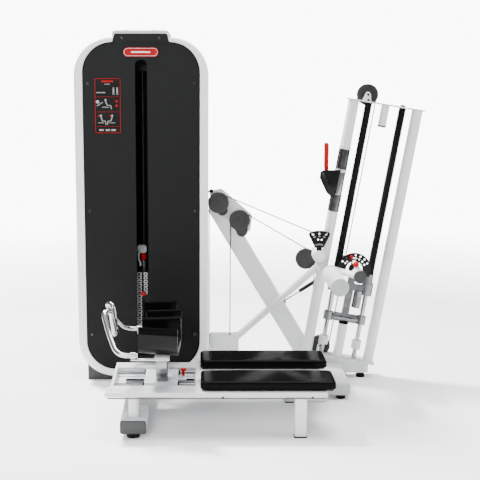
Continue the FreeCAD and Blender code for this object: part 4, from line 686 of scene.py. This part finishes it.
def stem_fittings():
    """Rounded top block, red knob, curved hook and small coil on the lifted stem."""
    y = 0.384
    block = round_rect(-0.6165, -0.5640, 0.700, 0.745, 0.016, 8)
    plate_piece("stem_top_block", block, y - 0.008, y + 0.012, "satin", "stack", "bare_steel")
    knob = [(0.006, 0.0), (0.0125, 0.002), (0.0145, 0.008), (0.0145, 0.030), (0.011, 0.036),
            (0.004, 0.038)]
    piece("stem_knob", *turned(knob, (-0.5805, y - 0.006, 0.660), UP), "red", "stack", "red_plastic")
    hook = [(-0.603, y - 0.008, 0.708), (-0.608, y - 0.010, 0.690), (-0.607, y - 0.010, 0.665),
            (-0.600, y - 0.008, 0.645), (-0.599, y - 0.006, 0.628)]
    piece("stem_hook", *swept(hook, 0.0055), "print_white", "stack", "white_plastic")
    turns, rise, radius, points_a_turn = 5, 0.030, 0.0085, 14
    coil = []
    for i in range(points_a_turn * turns + 1):
        a = 2 * math.pi * i / points_a_turn
        height = 0.626 + rise * a / (2 * math.pi * turns)
        coil.append((-0.582 + radius * math.cos(a), y - 0.004 + radius * math.sin(a), height))
    piece("stem_spring", *swept(coil, 0.0016, 6), "steel", "stack", "bare_steel")


# Middle and half width of each column of labels.
LEFT_LABELS, RIGHT_LABELS = (-0.6035, 0.0125), (-0.5690, 0.0095)
weight_labels("resting_labels", "root", range(RESTING_PLATES), [LEFT_LABELS])
weight_labels("lifted_labels", "stack", range(RESTING_PLATES, ALL_PLATES), [LEFT_LABELS, RIGHT_LABELS])
stem_fittings()


# ---------------------------------- guards, bolts, covers and other small pieces
def teardrop(x, z, radius, tip_x, tip_z, tip_radius):
    """Outline round a pulley that runs out to a smaller round tip."""
    heading = math.atan2(tip_z - z, tip_x - x)
    points = []
    for cx, cz, r, start in ((x, z, radius, math.pi / 2), (tip_x, tip_z, tip_radius, -math.pi / 2)):
        for i in range(19):
            a = heading + start + math.pi * i / 18
            points.append((cx + r * math.cos(a), cz + r * math.sin(a)))
    return points


def bolt(place, axis, radius, length):
    """Button head with a rim, as a turned shape."""
    return turned([(radius * 0.92, 0.0), (radius, length * 0.25), (radius * 0.85, length * 0.7),
                   (radius * 0.45, length), (radius * 0.40, length * 0.6), (0.0004, length * 0.55)],
                  place, axis, 24)


def pulley_guards():
    """Teardrop plates behind the upper pulley and the brace pulley."""
    upper = teardrop(*UPPER_PULLEY, 0.050, -0.147, 0.940, 0.030)
    lower = teardrop(*BRACE_PULLEY, 0.050, -0.036, 0.815, 0.032)
    plate_piece("tension_pulley_guard", upper, UPPER_GUARD_Y, UPPER_GUARD_Y + 0.005, "pulley", "root",
                "dark_plastic")
    plate_piece("brace_pulley_guard", lower, BRACE_GUARD_Y, BRACE_GUARD_Y + 0.0018, "pulley", "root",
                "dark_plastic")


def pulley_face_rings():
    """Raised ring on the front of every pulley, turning with it."""
    for name in CAD_LOOKS["pulley"]:
        low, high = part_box(name)
        cx, cz, rim = (low.x + high.x) / 2, (low.z + high.z) / 2, (high.x - low.x) / 2
        profile = [(rim * 0.78, 0.0), (rim * 0.80, 0.0008), (rim * 0.70, 0.0012), (rim * 0.68, 0.0002)]
        ring = turned(profile, (cx, low.y + 0.0003, cz), FRONT, 48, False)
        piece(name + "_face_ring", *ring, "pulley", name, "dark_plastic")


def button_bolts():
    """Button heads on the tray lip, on the tower's cap and on the leaning tower's top plate."""
    lip_y, lip_z, cap_y, cap_z, plate_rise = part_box("bench_tray")[0].y, 0.196, 0.285, 1.8995, 1.4200
    bolts = [bolt((x, lip_y, lip_z), FRONT, 0.0065, 0.004) for x in (-0.165, 0.250)]
    bolts += [bolt((TOWER_X + dx, cap_y, cap_z), UP, 0.008, 0.004) for dx in (-0.078, 0.070)]
    bolts += [bolt(lean_at(a, plate_rise), LEAN_UP, 0.011, 0.008) for a in (-ROD_ACROSS, ROD_ACROSS)]
    piece("button_bolts", *joined(bolts), "screw", "root", "bare_steel")


def brake_cover():
    """Shield-shaped cover of the hand brake, open at the top for the lever."""
    outline = [(0.3755, 1.1240), (0.3790, 1.1500), (0.3860, 1.1600), (0.4000, 1.1640), (0.4900, 1.1660),
               (0.4700, 1.0840), (0.4560, 1.0280), (0.4490, 1.0190), (0.4390, 1.0200), (0.4160, 1.0400)]
    face = slab(outline, 0.3150, 0.3210, 0.0025)
    lower = [(0.3775, 1.1210), (0.4160, 1.0410), (0.4400, 1.0215), (0.4480, 1.0210), (0.4540, 1.0300),
             (0.4600, 1.0560), (0.4520, 1.0560), (0.4450, 1.0330), (0.4210, 1.0480), (0.3850, 1.1230)]
    rim = slab(lower, 0.3205, 0.3370, 0.0010)
    made = piece("brake_cover", *joined([face, rim]), "ink", "root", "black_plastic", 50)
    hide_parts("brake_housing")


def tube_bands():
    """Two dark sleeves and a polished stretch between them on the left leaning tube."""
    sleeves = []
    for start, end, radius in ((1.034, 1.144, 0.0305), (0.800, 0.895, 0.0300)):
        profile = [(radius - 0.0015, start), (radius, start + 0.002), (radius, end - 0.002),
                   (radius - 0.0015, end)]
        sleeves.append(turned(profile, lean_at(TUBE_ACROSS, 0), LEAN_UP, 48, False))
    piece("tube_sleeves", *joined(sleeves), "dark_chrome", "root", "bare_steel")
    profile = [(0.0287, 0.896), (0.0289, 0.900), (0.0289, 1.014), (0.0287, 1.018)]
    polished = turned(profile, lean_at(TUBE_ACROSS, 0), LEAN_UP, 48, False)
    piece("tube_polished_band", *polished, "chrome", "root", "chrome")


def dial_marks():
    """White ticks and a grey arc on the side sector plate."""
    hub, face = Vector((0.381, 0.692)), 0.3160
    inner_arc, outer_arc, arc_start, arc_end, arc_steps = 0.062, 0.070, 72, 108, 12
    arc_step = (arc_end - arc_start) / arc_steps

    def polar(radius, degrees):
        a = math.radians(degrees)
        return hub.x + radius * math.cos(a), hub.y + radius * math.sin(a)

    ticks = [strip(polar(0.123, a), polar(0.135, a), 0.0035) for a in (72, 90, 108)]
    ticks += [strip(polar(0.110, a - 2), polar(0.110, a + 2), 0.0030) for a in (76, 90, 104)]
    slabs = [slab(tick, face - 0.0008, face + 0.0002, 0.0001) for tick in ticks]
    piece("side_sector_marks", *joined(slabs), "print_white", "root", "white_plastic")
    arc = [polar(outer_arc, arc_start + arc_step * i) for i in range(arc_steps + 1)]
    arc += [polar(inner_arc, arc_end - arc_step * i) for i in range(arc_steps + 1)]
    arc_slab = slab(arc, face - 0.0010, face + 0.0002, 0.0001)
    piece("side_sector_arc", *arc_slab, "satin", "root", "bare_steel")


def tray_lip_edge():
    """Painted shade: a dark strip along the lower edge of the front lip of the bench tray."""
    low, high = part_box("bench_tray")
    z0, z1, middle, shoulder, tip = 0.1900, 0.1962, 0.1930, 0.012, 0.010
    outline = [(low.x + shoulder, z0), (high.x - shoulder, z0), (high.x - tip, middle),
               (high.x - shoulder, z1), (low.x + shoulder, z1), (low.x + tip, middle)]
    edge = slab(outline, low.y - 0.0008, low.y + 0.0002, 0.0001)
    piece("tray_lip_edge", *edge, "lip_edge", "root", "bare_steel")


def stop_tube_ring():
    """Dark ring in the lower end of the upper stop tube; about 3.5 mm of it shows below the tube."""
    profile = [(0.0165, 1.2965), (0.0180, 1.2975), (0.0180, 1.3045), (0.0165, 1.3055)]
    piece("stop_tube_ring", *turned(profile, lean_at(0, 0), LEAN_UP, 36, False), "screw", "root",
          "bare_steel")


def brake_lever_grip():
    """Upright round grip on the upper part of the leaning hand brake lever; their surfaces cross."""
    low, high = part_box("brake_lever")
    middle = ((low.x + high.x) / 2, (low.y + high.y) / 2, 0)
    profile = [(0.009, 1.172), (0.0125, 1.176), (0.0130, high.z - 0.016), (0.0115, high.z - 0.005),
               (0.006, high.z)]
    piece("brake_lever_grip", *turned(profile, middle, UP, 28), "red", "brake_lever", "red_plastic")


def screw_painted_shade_discs():
    """Dark discs round the screws of the front cover and of its top tab: painted shade standing for the
    recesses round them.
    """
    tab_face_y, tab_z, tab_radius, cover_radius = 0.2535, 1.860, 0.0105, 0.0075
    places = [(TOWER_X + dx, tab_face_y, tab_z, tab_radius) for dx in (-0.097, 0.097)]
    places += [(TOWER_X + dx, COVER_FACE_Y, z, cover_radius) for dx in (-0.282, 0.282)
               for z in (0.268, 0.950, 1.626)]
    # Each disc is painted shade for the recess round one screw.
    cups = []
    for x, y, z, radius in places:
        profile = [(radius, 0.0), (radius, 0.0012), (radius * 0.8, 0.0016), (radius * 0.6, 0.0004)]
        cups.append(turned(profile, (x, y, z), FRONT, 28))
    piece("screw_painted_shade_discs", *joined(cups), "black_paint", "root", "bare_steel")


def post_sleeve():
    """Plated sleeve round the post of the forearm support."""
    x0, x1, y0, y1, corner = -0.480, -0.426, -0.440, -0.347, 0.008
    rings = []
    for z, grow in ((0.2215, 0.0003), (0.2225, 0.0009), (0.3685, 0.0009), (0.3695, 0.0003)):
        outline = round_rect(x0 - grow, x1 + grow, y0 - grow, y1 + grow, corner)
        rings.append([(x, y, z) for x, y in outline])
    piece("support_post_sleeve", *loft(rings, False), "post", "support", "chrome")


def roller_face():
    """End disc on the front of the roller, its white coloured grey as painted shade."""
    profile = [(0.046, 0.0), (0.0465, 0.001), (0.0445, 0.003), (0.020, 0.0035), (0.016, 0.0025)]
    disc = turned(profile, (0.442, -0.0825, 0.6026), FRONT, 48)
    piece("roller_end_disc_painted_shade", *disc, "disc", "roller", "white_plastic")


def hex_heads():
    """Hexagon heads with washers, on the guards, so the pulleys before them hide them."""
    heads = []
    for (x, z), y in ((UPPER_PULLEY, UPPER_GUARD_Y), (BRACE_PULLEY, BRACE_GUARD_Y)):
        heads.append(turned([(0.0165, 0.0), (0.0165, 0.0012), (0.0110, 0.0014)], (x, y, z), FRONT, 32))
        heads.append(turned([(0.0105, 0.0), (0.0105, 0.0055), (0.0090, 0.0066)], (x, y, z), FRONT, 6))
    piece("guard_hex_heads", *joined(heads), "black_paint", "root", "bare_steel")


def bracket_knob():
    """Small ball knob on a stem beside the upper pulley."""
    y = 0.385
    stem = swept([(-0.262, y, 1.033), (-0.230, y, 1.038), (-0.212, y, 1.042)], 0.005)
    profile = [(0.004, -0.011), (0.009, -0.008), (0.0118, 0.0), (0.009, 0.008), (0.003, 0.011)]
    ball = turned(profile, (-0.2075, y, 1.043), (1, 0, 0.15), 28)
    piece("bracket_knob", *joined([stem, ball]), "ink", "root", "black_plastic")


pulley_guards()
pulley_face_rings()
button_bolts()
brake_cover()
tube_bands()
dial_marks()
tray_lip_edge()
stop_tube_ring()
brake_lever_grip()
screw_painted_shade_discs()
post_sleeve()
roller_face()
hex_heads()
bracket_knob()


# ------------------------------------------------------------------ stage
def stage_floor():
    """Pale floor that fades out before its own edge."""
    half_size, fade_start, fade_end = 12, 2.6, 6.0
    work = bmesh.new()
    bmesh.ops.create_grid(work, x_segments=8, y_segments=8, size=half_size)
    mesh = bpy.data.meshes.new("floor")
    work.to_mesh(mesh)
    work.free()
    floor = bpy.data.objects.new("floor", mesh)
    bpy.context.scene.collection.objects.link(floor)
    s = Shader("studio_floor", 0.1)
    s.surface.inputs["Roughness"].default_value = 0.9
    s.paint(s.mottled((0.93, 0.93, 0.93), 0.01, 0.7))
    distance = s.node("ShaderNodeVectorMath", {"operation": "LENGTH"})
    s.link(s.place, distance.inputs[0])
    fade = s.remap(distance.outputs["Value"], 1, 0, fade_start, fade_end)
    s.link(fade, s.surface.inputs["Alpha"])
    mesh.materials.append(s.material)


def area_light(name, place, aim, size, power):
    """Rectangular soft light, its power in watts, turned towards a point."""
    data = bpy.data.lights.new(name, "AREA")
    data.shape = "RECTANGLE"
    data.size, data.size_y = size
    data.energy = power
    made = bpy.data.objects.new(name, data)
    bpy.context.scene.collection.objects.link(made)
    made.location = place
    made.rotation_euler = (Vector(aim) - Vector(place)).to_track_quat("-Z", "Y").to_euler()


BACKDROP = 10.0


def studio_world():
    """White to the camera; as light, bright overhead and dim at the sides for contrast in the chrome."""
    world = bpy.data.worlds.new("studio")
    world.use_nodes = True
    tree = world.node_tree
    seen = tree.nodes["Background"]
    seen.inputs["Color"].default_value = (1, 1, 1, 1)
    seen.inputs["Strength"].default_value = BACKDROP
    light = tree.nodes.new("ShaderNodeBackground")
    light.inputs["Strength"].default_value = 1.0
    direction = tree.nodes.new("ShaderNodeTexCoord")
    split = tree.nodes.new("ShaderNodeSeparateXYZ")
    tree.links.new(direction.outputs["Generated"], split.inputs[0])
    ramp = tree.nodes.new("ShaderNodeValToRGB")
    # Height of the direction and brightness there, from level upwards.
    stops = ((0.0, 0.42), (0.10, 0.05), (0.45, 0.16), (1.0, 1.3))
    while len(ramp.color_ramp.elements) < len(stops):
        ramp.color_ramp.elements.new(0.5)
    for element, (at, value) in zip(ramp.color_ramp.elements, stops):
        element.position = at
        element.color = (value, value, value, 1)
    tree.links.new(split.outputs["Z"], ramp.inputs["Fac"])
    tree.links.new(ramp.outputs["Color"], light.inputs["Color"])
    path = tree.nodes.new("ShaderNodeLightPath")
    mix = tree.nodes.new("ShaderNodeMixShader")
    tree.links.new(path.outputs["Is Camera Ray"], mix.inputs["Fac"])
    tree.links.new(light.outputs[0], mix.inputs[1])
    tree.links.new(seen.outputs[0], mix.inputs[2])
    tree.links.new(mix.outputs[0], tree.nodes["World Output"].inputs["Surface"])
    bpy.context.scene.world = world


stage_floor()
area_light("key", (-2.8, 2.2, 5.6), (0, 0, 0.2), (1.0, 1.0), 1500)
area_light("top", (0.6, 0.4, 6.0), (0, 0, 0), (3.0, 3.0), 500)
area_light("front", (-2.2, -6.3, 3.6), (-0.1, 0, 0.9), (2.6, 2.0), 345)
area_light("right", (5.0, -1.5, 2.0), (0.3, 0, 0.8), (1.2, 3.0), 120)
studio_world()
